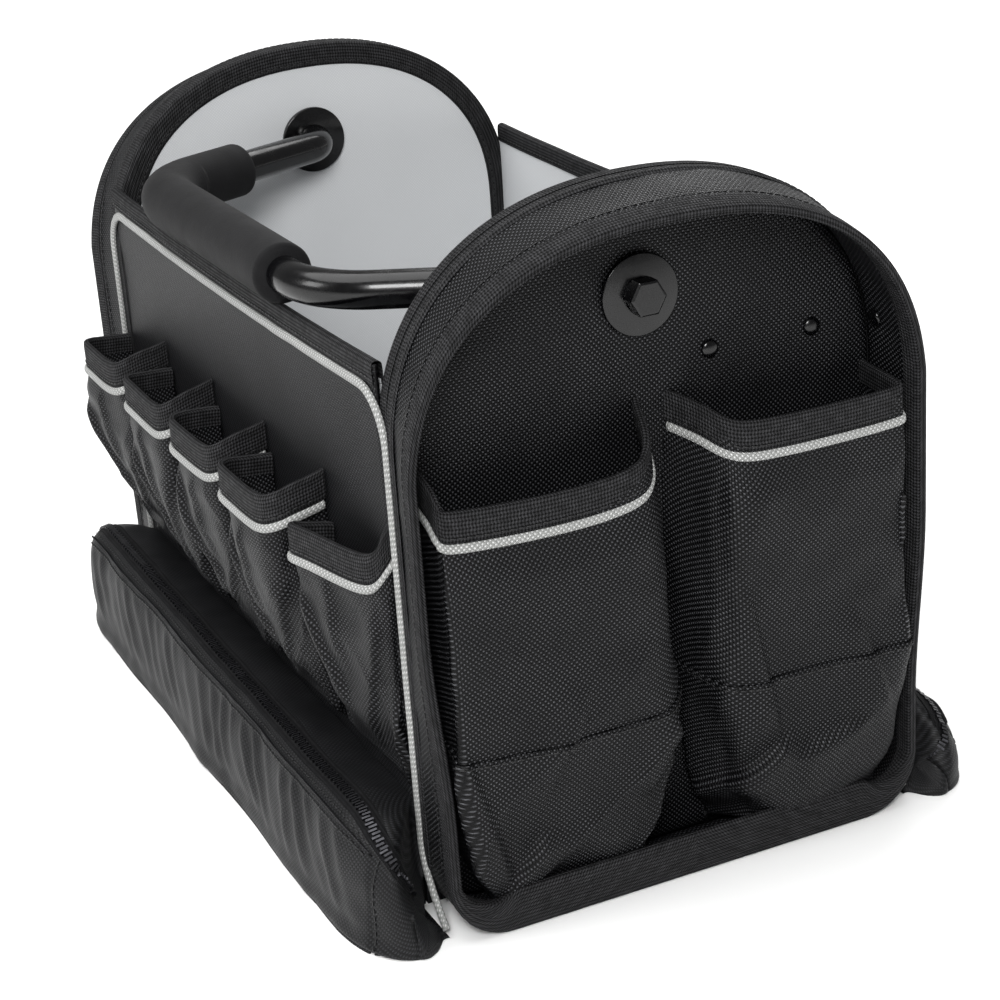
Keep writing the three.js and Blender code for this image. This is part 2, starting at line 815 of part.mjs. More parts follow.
function handlePath() {
  const bendSteps = 6;
  const corners = [
    { x: armHalfSpan, y: 0, bend: rootBend },
    { x: armAcross(armReach), y: -armReach, bend: gripBend },
    { x: -armAcross(armReach), y: -armReach, bend: gripBend },
    { x: -armHalfSpan, y: 0, bend: rootBend },
  ];
  const ends = [new THREE.Vector2(stubEnd(), 0), new THREE.Vector2(-stubEnd(), 0)];
  const all = [ends[0], ...corners, ends[1]];
  const path = [{ at: ends[0], corner: -1 }];
  corners.forEach((corner, i) => {
    const middle = new THREE.Vector2(corner.x, corner.y);
    const before = new THREE.Vector2(all[i].x, all[i].y).sub(middle).normalize();
    const after = new THREE.Vector2(all[i + 2].x, all[i + 2].y).sub(middle).normalize();
    const half = Math.acos(before.dot(after)) / 2;
    const inward = before.clone().add(after).normalize();
    const centre = middle.clone().addScaledVector(inward, corner.bend / Math.sin(half));
    const swing = Math.PI / 2 - half;
    const turn = Math.sign(before.cross(after));
    for (let k = 0; k <= bendSteps; k += 1) {
      const angle = turn * THREE.MathUtils.lerp(swing, -swing, k / bendSteps);
      const spoke = inward.clone().negate().rotateAround(new THREE.Vector2(), angle);
      path.push({ at: centre.clone().addScaledVector(spoke, corner.bend), corner: i });
    }
  });
  path.push({ at: ends[1], corner: -1 });
  return path;
}

// A ring of points round one place of the handle's path
function handleRing(places, i, radius) {
  const sides = 12;
  const before = places[Math.max(0, i - 1)];
  const after = places[Math.min(places.length - 1, i + 1)];
  const inward = places[i].clone().sub(before).normalize();
  const onward = after.clone().sub(places[i]).normalize();
  const along = inward.add(onward).normalize();
  const across = new THREE.Vector2(along.y, -along.x);
  return Array.from({ length: sides }, (_, k) => {
    const angle = ((k + 0.5) / sides) * Math.PI * 2;
    const side = radius * Math.cos(angle);
    const place = places[i].clone().addScaledVector(across, side);
    return new THREE.Vector3(place.x, place.y, radius * Math.sin(angle));
  });
}

function handleTube() {
  const places = handlePath().map((p) => p.at);
  const solid = loft(places.map((_, i) => handleRing(places, i, tubeRadius)));
  const bore = circle(boltRadius + boltFit, 12, 0, 0);
  const deep = boltInTube + gap;
  const nearBore = plate(bore, stubEnd() - deep, stubEnd() + overcut);
  const farBore = plate(bore, -stubEnd() - overcut, -stubEnd() + deep);
  return cut(solid, nearBore, farBore);
}

function handleGrip() {
  const bend = handlePath().filter((p) => p.corner === 2).map((p) => p.at);
  const places = [
    new THREE.Vector2(gripEnd, -armReach),
    ...bend,
    new THREE.Vector2(-armAcross(gripArmStart), -gripArmStart),
  ];
  const outer = loft(places.map((_, i) => handleRing(places, i, gripRadius)));
  const longer = places.map((p) => p.clone());
  const last = places.length - 1;
  longer[0].x += overcut;
  longer[last].addScaledVector(places[last].clone().sub(places[last - 1]).normalize(), overcut);
  const inner = loft(longer.map((_, i) => handleRing(longer, i, tubeRadius + gap)));
  return cut(outer, inner);
}

// The handle rests with its grip along the top of the left wall
function restAngle() {
  const wallTop = wallHeight - sagAt(gripEnd) + gap;
  return Math.asin((wallTop + gripRadius - axisHeight) / armReach);
}

// Putting the pieces together

const tote = new THREE.Group();

function add(parent, name, geometry, look) {
  const mesh = new THREE.Mesh(geometry, new THREE.MeshStandardMaterial(look));
  mesh.name = name;
  parent.add(mesh);
  return mesh;
}

function addSide(name, turn, shape) {
  const group = new THREE.Group();
  group.rotation.z = turn;
  add(group, `side_wall_${name}`, sideWall(), looks.cloth);
  add(group, `side_piping_${name}`, sidePiping(), looks.piping);
  add(group, `base_compartment_${name}`, baseCompartment(shape), looks.cloth);
  add(group, `base_zip_${name}`, zip(shape), looks.zip);
  add(group, `base_piping_${name}`, basePiping(shape), looks.binding);
  sidePockets().forEach((pocket, i) => {
    add(group, `side_pocket_${name}_${i + 1}`, pocketBody(pocket), looks.cloth);
    add(group, `side_pocket_piping_${name}_${i + 1}`, pocketPipingBody(pocket), looks.piping);
  });
  tote.add(group);
}

function addEnd(name, turn) {
  const group = new THREE.Group();
  group.rotation.z = turn;
  add(group, `end_panel_${name}`, endPanel(), looks.cloth);
  add(group, `end_lining_${name}`, liningPanel(), looks.lining);
  add(group, `hood_${name}`, hood(), looks.cloth);
  add(group, `hood_binding_${name}`, hoodBinding(), looks.binding);
  add(group, `washer_outer_${name}`, washer(halfLength + gap), looks.steel);
  add(group, `washer_inner_${name}`, washer(innerWasherFace()), looks.steel);
  add(group, `bolt_${name}`, bolt(), looks.steel);
  const pocketGroup = new THREE.Group();
  pocketGroup.rotation.z = Math.PI / 2;
  endPockets().forEach((pocket, i) => {
    const side = ["a", "b"][i];
    add(pocketGroup, `end_pocket_${name}_${side}`, pocketBody(pocket), looks.cloth);
    add(pocketGroup, `end_pocket_piping_${name}_${side}`, pocketPipingBody(pocket), looks.piping);
  });
  group.add(pocketGroup);
  tote.add(group);
}

add(tote, "floor_board", floorBoard(), looks.cloth);
addSide("left", 0, fullSection);
addSide("right", Math.PI, slackSection);
addEnd("near", 0);
addEnd("far", Math.PI);

rivetPlaces.forEach((inset, i) => {
  const rivet = add(tote, `rivet_${i + 1}`, rivetDome(), looks.steel);
  rivet.rotation.z = -Math.PI / 2;
  rivet.position.set(halfLength + gap, halfWidth - inset, rivetHeight);
});
const sideRivet = add(tote, "rivet_3", rivetDome(), looks.steel);
sideRivet.rotation.z = Math.PI;
const hoodInside = archAcross(rivetHeight + rivetRadius) - hoodThick - gap;
sideRivet.position.set(halfLength + sideRivetOut, hoodInside, rivetHeight);

const handle = new THREE.Group();
handle.position.z = axisHeight;
handle.rotation.x = -restAngle();
add(handle, "handle_tube", handleTube(), looks.steel);
add(handle, "handle_grip", handleGrip(), looks.foam);
tote.add(handle);

export default tote;
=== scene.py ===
import math

import bmesh
import bpy
from mathutils import Matrix, Vector, noise


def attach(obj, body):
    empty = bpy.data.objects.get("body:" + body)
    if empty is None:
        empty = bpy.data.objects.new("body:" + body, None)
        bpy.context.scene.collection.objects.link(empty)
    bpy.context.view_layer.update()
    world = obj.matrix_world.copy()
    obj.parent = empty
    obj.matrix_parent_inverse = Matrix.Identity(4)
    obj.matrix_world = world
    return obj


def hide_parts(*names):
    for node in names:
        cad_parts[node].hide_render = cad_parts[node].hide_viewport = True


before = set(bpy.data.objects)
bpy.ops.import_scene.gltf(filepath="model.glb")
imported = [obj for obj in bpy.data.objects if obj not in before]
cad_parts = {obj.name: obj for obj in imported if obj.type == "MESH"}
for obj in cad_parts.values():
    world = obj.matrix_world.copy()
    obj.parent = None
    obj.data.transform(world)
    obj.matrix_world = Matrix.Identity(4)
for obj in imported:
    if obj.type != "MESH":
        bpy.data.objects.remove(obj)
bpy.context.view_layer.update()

mm = 0.001

# The bag's own sizes, the same as in the CAD source. The near end is +X and the left side -Y.
bag = {
    "halfLength": 213 * mm,  # to the outer face of an end panel
    "halfWidth": 130 * mm,
    "gap": 0.3 * mm,
    "panelThick": 9 * mm,
    "liningInset": 12 * mm,  # width of the binding round the lining
    "wallHeight": 281 * mm,
    "wallSag": 4 * mm,
    "wallThick": 3 * mm,
    "floorTop": 14 * mm,
    "axisHeight": 291 * mm,  # of the bolts
}
arch = {"spring": 236 * mm, "top": 348 * mm, "power": 2.24, "corner": 30 * mm}


def mix(a, b, t):
    return a + (b - a) * t


def ease(t):
    t = min(1.0, max(0.0, t))
    return t * t * (3 - 2 * t)


def hill(x, middle, width):
    return math.exp(-(((x - middle) / width) ** 2))


def rough(p, size, seed=0.0):  # smooth noise from -1 to 1 that changes over about size
    return noise.noise(Vector(p) / size + Vector((seed * 7.13, seed * 3.71, seed * 1.93)))


def through(points, t):  # a smooth line through points of any kind, t from 0 to 1
    place = min(max(t, 0.0), 1.0) * (len(points) - 1)
    i = min(int(place), len(points) - 2)
    f = place - i
    around = [points[min(max(i + k, 0), len(points) - 1)] for k in (-1, 0, 1, 2)]
    return tuple(
        0.5 * (2 * b + (c - a) * f + (2 * a - 5 * b + 4 * c - d) * f**2 + (3 * b - a - 3 * c + d) * f**3)
        for a, b, c, d in zip(*around)
    )


def turnRound(p, turn):  # the far end and the right side are the near and left ones turned round
    return Vector((-p[0], -p[1], p[2])) if turn else Vector(p)


def linear(hexText):
    channels = [int(hexText[i : i + 2], 16) / 255 for i in (1, 3, 5)]
    return (*[c / 12.92 if c <= 0.04045 else ((c + 0.055) / 1.055) ** 2.4 for c in channels], 1.0)


def addNode(tree, kind, links=None, **settings):
    node = tree.nodes.new(kind)
    for name, value in settings.items():
        setattr(node, name, value)
    for socket, value in (links or {}).items():
        if isinstance(value, bpy.types.NodeSocket):
            tree.links.new(value, node.inputs[socket])
        else:
            node.inputs[socket].default_value = value
    return node


def startMaterial(name, **values):
    material = bpy.data.materials.new(name)
    material.use_nodes = True
    tree = material.node_tree
    shader = tree.nodes["Principled BSDF"]
    for socket, value in values.items():
        shader.inputs[socket.replace("_", " ")].default_value = value
    return material, tree, shader


def wovenPlace(tree, threadPitch, source):
    # sin(u) * sin(v) over the piece's own UV, in metres: the two signs are warp and weft crowns
    place = addNode(tree, "ShaderNodeTexCoord").outputs[source]
    scaled = addNode(tree, "ShaderNodeVectorMath", {0: place, "Scale": math.pi / threadPitch}, operation="SCALE")
    parts = addNode(tree, "ShaderNodeSeparateXYZ", {0: scaled.outputs[0]})
    across = addNode(tree, "ShaderNodeMath", {0: parts.outputs["X"]}, operation="SINE")
    along = addNode(tree, "ShaderNodeMath", {0: parts.outputs["Y"]}, operation="SINE")
    crowns = addNode(tree, "ShaderNodeMath", {0: across.outputs[0], 1: along.outputs[0]}, operation="MULTIPLY")
    return place, crowns.outputs[0]


def makeWoven(name, look):
    # Coated polyester in a plain weave: the warp crowns take the lighter crown colour, a painted highlight for their
    # glint, while the weft and the holes stay dark
    material, tree, shader = startMaterial(name, Specular_IOR_Level=look["shine"], IOR=1.5)
    place, crowns = wovenPlace(tree, look["pitch"], look.get("source", "UV"))
    blot = addNode(tree, "ShaderNodeTexNoise", {"Vector": place, "Scale": 26.0, "Detail": 3.0})
    fuzz = addNode(tree, "ShaderNodeTexNoise", {"Vector": place, "Scale": 1700.0, "Detail": 2.0})
    warp = addNode(tree, "ShaderNodeMath", {0: crowns, 1: 0.0}, operation="MAXIMUM")
    sharp = addNode(tree, "ShaderNodeMath", {0: warp.outputs[0], 1: look.get("narrow", 0.8)}, operation="POWER")
    uneven = addNode(tree, "ShaderNodeMapRange", {"Value": blot.outputs[0], "From Min": 0.3, "From Max": 0.7, "To Min": 0.6, "To Max": 1.0})
    shown = addNode(tree, "ShaderNodeMath", {0: sharp.outputs[0], 1: uneven.outputs[0]}, operation="MULTIPLY")
    thread = addNode(tree, "ShaderNodeMath", {0: shown.outputs[0], 1: fuzz.outputs[0], 2: 0.0}, operation="MULTIPLY_ADD")
    # the crown colour mixed in here is a painted highlight on the warp crowns, varied at random by the blot noise
    tint = addNode(
        tree,
        "ShaderNodeMix",
        {0: thread.outputs[0], 6: linear(look["ground"]), 7: linear(look["crown"])},
        data_type="RGBA",
    )
    tree.links.new(tint.outputs[2], shader.inputs["Base Color"])
    dull = addNode(tree, "ShaderNodeMapRange", {"Value": shown.outputs[0], "To Min": look["dull"], "To Max": look["glint"]})
    tree.links.new(dull.outputs[0], shader.inputs["Roughness"])
    relief = addNode(tree, "ShaderNodeMath", {0: crowns}, operation="ABSOLUTE")
    raised = addNode(tree, "ShaderNodeMath", {0: relief.outputs[0], 1: 0.6}, operation="POWER")
    bump = addNode(tree, "ShaderNodeBump", {"Height": raised.outputs[0], "Strength": look["relief"], "Distance": look["pitch"] * 0.2})
    tree.links.new(bump.outputs[0], shader.inputs["Normal"])
    return material


def makeRibbed(name, look):
    # Folded webbing: rows of slanting ribs across a narrow strip, with a matt selvedge
    material, tree, shader = startMaterial(name, Specular_IOR_Level=0.14, IOR=1.5)
    place = addNode(tree, "ShaderNodeTexCoord").outputs["UV"]
    parts = addNode(tree, "ShaderNodeSeparateXYZ", {0: place})
    slant = addNode(tree, "ShaderNodeMath", {0: parts.outputs["Y"], 1: look["rowPitch"]}, operation="PINGPONG")
    lean = addNode(tree, "ShaderNodeMath", {0: slant.outputs[0], 1: look["slant"], 2: parts.outputs["X"]}, operation="MULTIPLY_ADD")
    angle = addNode(tree, "ShaderNodeMath", {0: lean.outputs[0], 1: 2 * math.pi / look["ribPitch"]}, operation="MULTIPLY")
    wave = addNode(tree, "ShaderNodeMath", {0: angle.outputs[0]}, operation="SINE")
    rowAngle = addNode(tree, "ShaderNodeMath", {0: parts.outputs["Y"], 1: math.pi / look["rowPitch"]}, operation="MULTIPLY")
    row = addNode(tree, "ShaderNodeMath", {0: rowAngle.outputs[0]}, operation="SINE")
    rowHeight = addNode(tree, "ShaderNodeMath", {0: row.outputs[0]}, operation="ABSOLUTE")
    height = addNode(tree, "ShaderNodeMath", {0: wave.outputs[0], 1: 0.5, 2: rowHeight.outputs[0]}, operation="MULTIPLY_ADD")
    # rib tops take the lighter crown colour, a painted highlight broken up at random by the blot noise
    blot = addNode(tree, "ShaderNodeTexNoise", {"Vector": place, "Scale": 180.0, "Detail": 4.0})
    ribTopShine = addNode(tree, "ShaderNodeMath", {0: height.outputs[0], 1: blot.outputs[0]}, operation="MULTIPLY")
    tint = addNode(
        tree,
        "ShaderNodeMix",
        {0: ribTopShine.outputs[0], 6: linear(look["ground"]), 7: linear(look["crown"])},
        data_type="RGBA",
    )
    tree.links.new(tint.outputs[2], shader.inputs["Base Color"])
    dull = addNode(tree, "ShaderNodeMapRange", {"Value": ribTopShine.outputs[0], "To Min": 0.85, "To Max": look["glint"]})
    tree.links.new(dull.outputs[0], shader.inputs["Roughness"])
    bump = addNode(tree, "ShaderNodeBump", {"Height": height.outputs[0], "Strength": look["relief"], "Distance": 0.35 * mm})
    tree.links.new(bump.outputs[0], shader.inputs["Normal"])
    return material


def makeLacquer():
    # Steel with stoved gloss black lacquer: a hard clear shine with faint orange peel and hairlines
    material, tree, shader = startMaterial("stovedBlackLacquer", Coat_Weight=0.2, Coat_Roughness=0.1, Specular_IOR_Level=0.3)
    shader.inputs["Base Color"].default_value = linear("#030304")
    place = addNode(tree, "ShaderNodeTexCoord").outputs["Object"]
    peel = addNode(tree, "ShaderNodeTexNoise", {"Vector": place, "Scale": 420.0, "Detail": 1.0})
    rub = addNode(tree, "ShaderNodeTexNoise", {"Vector": place, "Scale": 70.0, "Detail": 5.0, "Roughness": 0.65})
    dull = addNode(tree, "ShaderNodeMapRange", {"Value": rub.outputs[0], "From Min": 0.35, "From Max": 0.75, "To Min": 0.16, "To Max": 0.36})
    tree.links.new(dull.outputs[0], shader.inputs["Roughness"])
    bump = addNode(tree, "ShaderNodeBump", {"Height": peel.outputs[0], "Strength": 0.12, "Distance": 0.1 * mm})
    tree.links.new(bump.outputs[0], shader.inputs["Normal"])
    return material


def makeFoam():
    # Extruded closed-cell foam: matt black with fine pores and a faint bloom where it is handled
    material, tree, shader = startMaterial("extrudedCellFoam", Sheen_Weight=0.02, Sheen_Roughness=0.6, Specular_IOR_Level=0.22)
    place = addNode(tree, "ShaderNodeTexCoord").outputs["Object"]
    pores = addNode(tree, "ShaderNodeTexVoronoi", {"Vector": place, "Scale": 1100.0}, feature="F1")
    lumps = addNode(tree, "ShaderNodeTexNoise", {"Vector": place, "Scale": 60.0, "Detail": 4.0})
    tint = addNode(
        tree, "ShaderNodeMix", {0: lumps.outputs[0], 6: linear("#050506"), 7: linear("#131315")}, data_type="RGBA"
    )
    tree.links.new(tint.outputs[2], shader.inputs["Base Color"])
    dull = addNode(tree, "ShaderNodeMapRange", {"Value": lumps.outputs[0], "To Min": 0.95, "To Max": 0.72})
    tree.links.new(dull.outputs[0], shader.inputs["Roughness"])
    both = addNode(tree, "ShaderNodeMath", {0: lumps.outputs[0], 1: 2.0, 2: pores.outputs[0]}, operation="MULTIPLY_ADD")
    bump = addNode(tree, "ShaderNodeBump", {"Height": both.outputs[0], "Strength": 0.4, "Distance": 0.3 * mm})
    tree.links.new(bump.outputs[0], shader.inputs["Normal"])
    return material


def makeZipMetal():
    # Die-cast zinc with a dark nickel finish, brighter where the teeth rub
    material, tree, shader = startMaterial("darkNickelZinc", Metallic=1.0)
    place = addNode(tree, "ShaderNodeTexCoord").outputs["Object"]
    rub = addNode(tree, "ShaderNodeTexNoise", {"Vector": place, "Scale": 300.0, "Detail": 3.0})
    tint = addNode(
        tree, "ShaderNodeMix", {0: rub.outputs[0], 6: linear("#1c1c1e"), 7: linear("#5c5c60")}, data_type="RGBA"
    )
    tree.links.new(tint.outputs[2], shader.inputs["Base Color"])
    dull = addNode(tree, "ShaderNodeMapRange", {"Value": rub.outputs[0], "To Min": 0.5, "To Max": 0.25})
    tree.links.new(dull.outputs[0], shader.inputs["Roughness"])
    return material


def makeFloor():
    # Matt painted studio floor
    material, tree, shader = startMaterial("paleStudioPaint", Roughness=0.9)
    place = addNode(tree, "ShaderNodeTexCoord").outputs["Object"]
    cloud = addNode(tree, "ShaderNodeTexNoise", {"Vector": place, "Scale": 3.0, "Detail": 2.0})
    tint = addNode(
        tree, "ShaderNodeMix", {0: cloud.outputs[0], 6: linear("#f4f4f3"), 7: linear("#f8f8f8")}, data_type="RGBA"
    )
    tree.links.new(tint.outputs[2], shader.inputs["Base Color"])
    return material


looks = {
    # in every look here the crown colour is a painted highlight on the thread or rib tops
    # heavy coated polyester, 1.9 mm between warp crowns
    "cloth": makeWoven(
        "coatedBallisticPolyester",
        {"pitch": 1.35 * mm, "ground": "#020203", "crown": "#77787c", "dull": 0.46, "glint": 0.34, "relief": 0.85, "shine": 0.15, "narrow": 2.2},
    ),
    # the same cloth on the base, with a dimmer painted crown highlight and lower relief
    "baseCloth": makeWoven(
        "dimGlintBallisticPolyester",
        {"pitch": 1.35 * mm, "ground": "#040405", "crown": "#3c3d40", "dull": 0.55, "glint": 0.45, "relief": 0.4, "shine": 0.22},
    ),
    # finer cloth on the floor
    "fine": makeWoven(
        "fineCoatedPolyester",
        {"pitch": 1.2 * mm, "ground": "#030304", "crown": "#4c4d50", "dull": 0.55, "glint": 0.4, "relief": 0.7, "shine": 0.2},
    ),
    "boardCloth": makeWoven(
        "floorBoardPolyester",
        {
            "pitch": 1.0 * mm, "ground": "#040405", "crown": "#3c3c40", "dull": 0.6, "glint": 0.42, "relief": 0.6,
            "shine": 0.12, "source": "Object",
        },
    ),
    # smooth light lining, thread 0.6 mm drawn at 0.9 so that it shows
    "lining": makeWoven(
        "coatedNylonLining",
        {"pitch": 0.9 * mm, "ground": "#c3c5c7", "crown": "#e2e3e4", "dull": 0.7, "glint": 0.5, "relief": 0.2, "shine": 0.35},
    ),
    # off-white woven edge cord, its glass-bead shine painted as white crowns, thread 0.7 mm drawn at 1.5 so that it
    # shows
    "piping": makeWoven(
        "reflectiveWovenPiping",
        {"pitch": 1.3 * mm, "ground": "#7e7f7d", "crown": "#ffffff", "dull": 0.6, "glint": 0.35, "relief": 0.8, "shine": 0.5},
    ),
    "binding": makeRibbed(
        "ribbedPolyesterWebbing",
        {"ribPitch": 1.7 * mm, "rowPitch": 1.9 * mm, "slant": 0.25, "ground": "#020202", "crown": "#3a3a3c", "glint": 0.5, "relief": 0.9},
    ),
    "tape": makeRibbed(
        "zipTapeTwill",
        {"ribPitch": 0.9 * mm, "rowPitch": 2.0 * mm, "slant": 1.0, "ground": "#030304", "crown": "#161618", "glint": 0.6, "relief": 0.5},
    ),
    "thread": makeWoven(
        "bondedNylonThread",
        {"pitch": 0.5 * mm, "ground": "#101011", "crown": "#4c4d50", "dull": 0.5, "glint": 0.35, "relief": 0.3, "shine": 0.4},
    ),
    "lacquer": makeLacquer(),
    "foam": makeFoam(),
    "zipMetal": makeZipMetal(),
    "floor": makeFloor(),
}
print("materials made")


def finishPiece(name, mesh, look, body="bag", smooth=True):
    data = bpy.data.meshes.new(name)
    mesh.to_mesh(data)
    mesh.free()
    data.polygons.foreach_set("use_smooth", [smooth] * len(data.polygons))
    data.materials.append(looks[look])
    piece = bpy.data.objects.new(name, data)
    bpy.context.collection.objects.link(piece)
    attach(piece, body)
    return piece


def thicken(piece, thick):
    wall = piece.modifiers.new("wall", "SOLIDIFY")
    wall.thickness = thick
    wall.offset = -1
    return piece


def clothPiece(name, place, across, along, look, outside, ripple=None, flat=None, body="bag", loop=False):
    # A grid is laid over place(u, v). Its UV is in metres over the cloth, so that a weave keeps
    # its size, and flat() gives one from the place itself. outside() says which way is out, and
    # without it the piece is a tube, closed at its ends.
    mesh = bmesh.new()
    bmesh.ops.create_grid(mesh, x_segments=across, y_segments=along, size=0.5)
    cell = {v: (round((v.co.x + 0.5) * across), round((v.co.y + 0.5) * along)) for v in mesh.verts}
    at = {c: Vector(place(c[0] / across, c[1] / along)) for c in cell.values()}
    for v, c in cell.items():
        v.co = at[c]
    mesh.normal_update()
    mesh.faces.ensure_lookup_table()
    middle = mesh.faces[len(mesh.faces) // 2 + across // 2]
    if outside and middle.normal.dot(outside(middle.calc_center_median())) < 0:
        bmesh.ops.reverse_faces(mesh, faces=mesh.faces)
        mesh.normal_update()
    if ripple:
        normals = {c: v.normal.copy() for v, c in cell.items()}
        for v, c in cell.items():
            normal = normals[c]
            if loop and c[0] in (0, across):
                normal = (normals[(0, c[1])] + normals[(across, c[1])]).normalized()
            v.co = v.co + normal * ripple(c[0] / across, c[1] / along, v.co)
    eastings, northings = {}, {}
    for j in range(along + 1):
        run = 0.0
        for i in range(across + 1):
            if i:
                run += (at[(i, j)] - at[(i - 1, j)]).length
            eastings[(i, j)] = run
        for i in range(across + 1):
            eastings[(i, j)] -= run / 2
    for i in range(across + 1):
        run = 0.0
        for j in range(along + 1):
            if j:
                run += (at[(i, j)] - at[(i, j - 1)]).length
            northings[(i, j)] = run
    layer = mesh.loops.layers.uv.new("UVMap")
    for face in mesh.faces:
        for corner in face.loops:
            c = cell[corner.vert]
            corner[layer].uv = flat(corner.vert.co) if flat else (eastings[c], northings[c])
    bmesh.ops.remove_doubles(mesh, verts=mesh.verts, dist=0.01 * mm)
    if not outside:
        bmesh.ops.holes_fill(mesh, edges=mesh.edges)
        bmesh.ops.recalc_face_normals(mesh, faces=mesh.faces)
    return finishPiece(name, mesh, look, body)


def seamStitches(name, points, body="bag", pitch=4.2 * mm, size=(3.0 * mm, 0.75 * mm, 0.5 * mm)):
    # points: (place, way out of the cloth); a stitch is a bevelled bar lying along the line
    lengths = [0.0]
    for (a, _), (b, _) in zip(points, points[1:]):
        lengths.append(lengths[-1] + (b - a).length)
    mesh = bmesh.new()
    count = int(lengths[-1] / pitch)
    k = 0
    for n in range(count):
        run = (n + 0.5) * pitch
        while lengths[k + 1] < run:
            k += 1
        share = (run - lengths[k]) / max(1e-9, lengths[k + 1] - lengths[k])
        (a, outA), (b, outB) = points[k], points[k + 1]
        spot = a.lerp(b, share)
        forward = (b - a).normalized()
        out = (outA.lerp(outB, share)).normalized()
        side = out.cross(forward).normalized()
        turn = Matrix((forward, side, forward.cross(side))).transposed().to_4x4()
        grow = Matrix.Diagonal((*size, 1.0))
        bmesh.ops.create_cube(mesh, size=1.0, matrix=Matrix.Translation(spot) @ turn @ grow)
    bmesh.ops.bevel(mesh, geom=mesh.edges[:], offset=0.16 * mm, segments=1, profile=0.5, affect="EDGES", material=-1)
    return finishPiece(name, mesh, "thread", body)


# The outline of an end, evenly spaced once round from the middle of its foot


def traceArch(count):
    side, r = bag["halfWidth"], arch["corner"]
    half = [((side - r) * i / 12, 0.0) for i in range(12)]
    for i in range(16):
        angle = i / 16 * math.pi / 2
        half.append((side - r + r * math.sin(angle), r - r * math.cos(angle)))
    half += [(side, mix(r, arch["spring"], i / 20)) for i in range(20)]
    for i in range(80):
        angle = i / 80 * math.pi / 2
        y = side * math.cos(angle) ** (2 / arch["power"])
        half.append((y, mix(arch["spring"], arch["top"], math.sin(angle) ** (2 / arch["power"]))))
    line = half + [(0.0, arch["top"])] + [(-y, z) for y, z in reversed(half)]
    runs = [0.0]
    for (y0, z0), (y1, z1) in zip(line, line[1:]):
        runs.append(runs[-1] + math.hypot(y1 - y0, z1 - z0))
    spaced, k = [], 0
    for n in range(count + 1):
        run = min(runs[-1] * n / count, runs[-1] - 1e-9)
        while runs[k + 1] < run:
            k += 1
        share = (run - runs[k]) / (runs[k + 1] - runs[k])
        spaced.append((mix(line[k][0], line[k + 1][0], share), mix(line[k][1], line[k + 1][1], share)))
    return spaced, runs[-1]


archLine, archRun = traceArch(1440)


def archAt(t):
    # y, z and the way out there, with how much of the foot's, crown's and flare's form it takes
    count = len(archLine) - 1
    i = round((t % 1.0) * count) % count
    before, after = archLine[(i - 3) % count], archLine[(i + 3) % count]
    y, z = archLine[i]
    out = Vector((after[1] - before[1], -(after[0] - before[0]))).normalized()
    foot, crown, flare = 0.0, 0.0, 0.0
    if z < arch["corner"]:
        foot = 1 - math.acos(max(-1.0, min(1.0, 1 - z / arch["corner"]))) / (math.pi / 2)
    elif z < arch["spring"]:
        up = (z - arch["corner"]) / (arch["spring"] - arch["corner"])
        flare = ease((up - 0.15) / 0.5)
    else:
        up = (z - arch["spring"]) / (arch["top"] - arch["spring"])
        crown, flare = up * up, (1 - up) ** 2
    return y, z, out, foot, crown, flare


hood = {
    "depth": 36 * mm,
    "reach": 6 * mm,
    "droop": 11 * mm,
    "flare": 6 * mm,
    "thick": 3.5 * mm,
    "seam": 5 * mm,
    "lipDeep": 12 * mm,
    "lipThick": 5 * mm,
    "footDeep": 5 * mm,
    "footTall": 22 * mm,
    "bandWide": 7 * mm,  # binding over its back seam
    "across": 260,
}


def hoodSpot(t, x, n):
    # a place on a hood: t round the arch, x along the bag, n out from its outer face
    y, z, out, foot, crown, flare = archAt(t)
    seam = bag["halfLength"] + hood["seam"]
    front = bag["halfLength"] + hood["depth"] + hood["reach"] * crown
    share = max(0.0, x - seam) / (front - seam)
    n -= (hood["droop"] * crown - hood["flare"] * flare) * share
    return Vector((x, y + out.x * n, max(z + out.y * n, 0.2 * mm)))


def hoodFront(t):
    _, _, _, foot, crown, _ = archAt(t)
    front = bag["halfLength"] + hood["depth"] + hood["reach"] * crown
    return front, front - mix(hood["lipDeep"], hood["footDeep"], foot), mix(hood["lipThick"], hood["footTall"], foot)


def fromBagMiddle(p):  # the way out of the bag's middle line, for facing a piece outwards
    return Vector((0, p.y, p.z - 150 * mm))


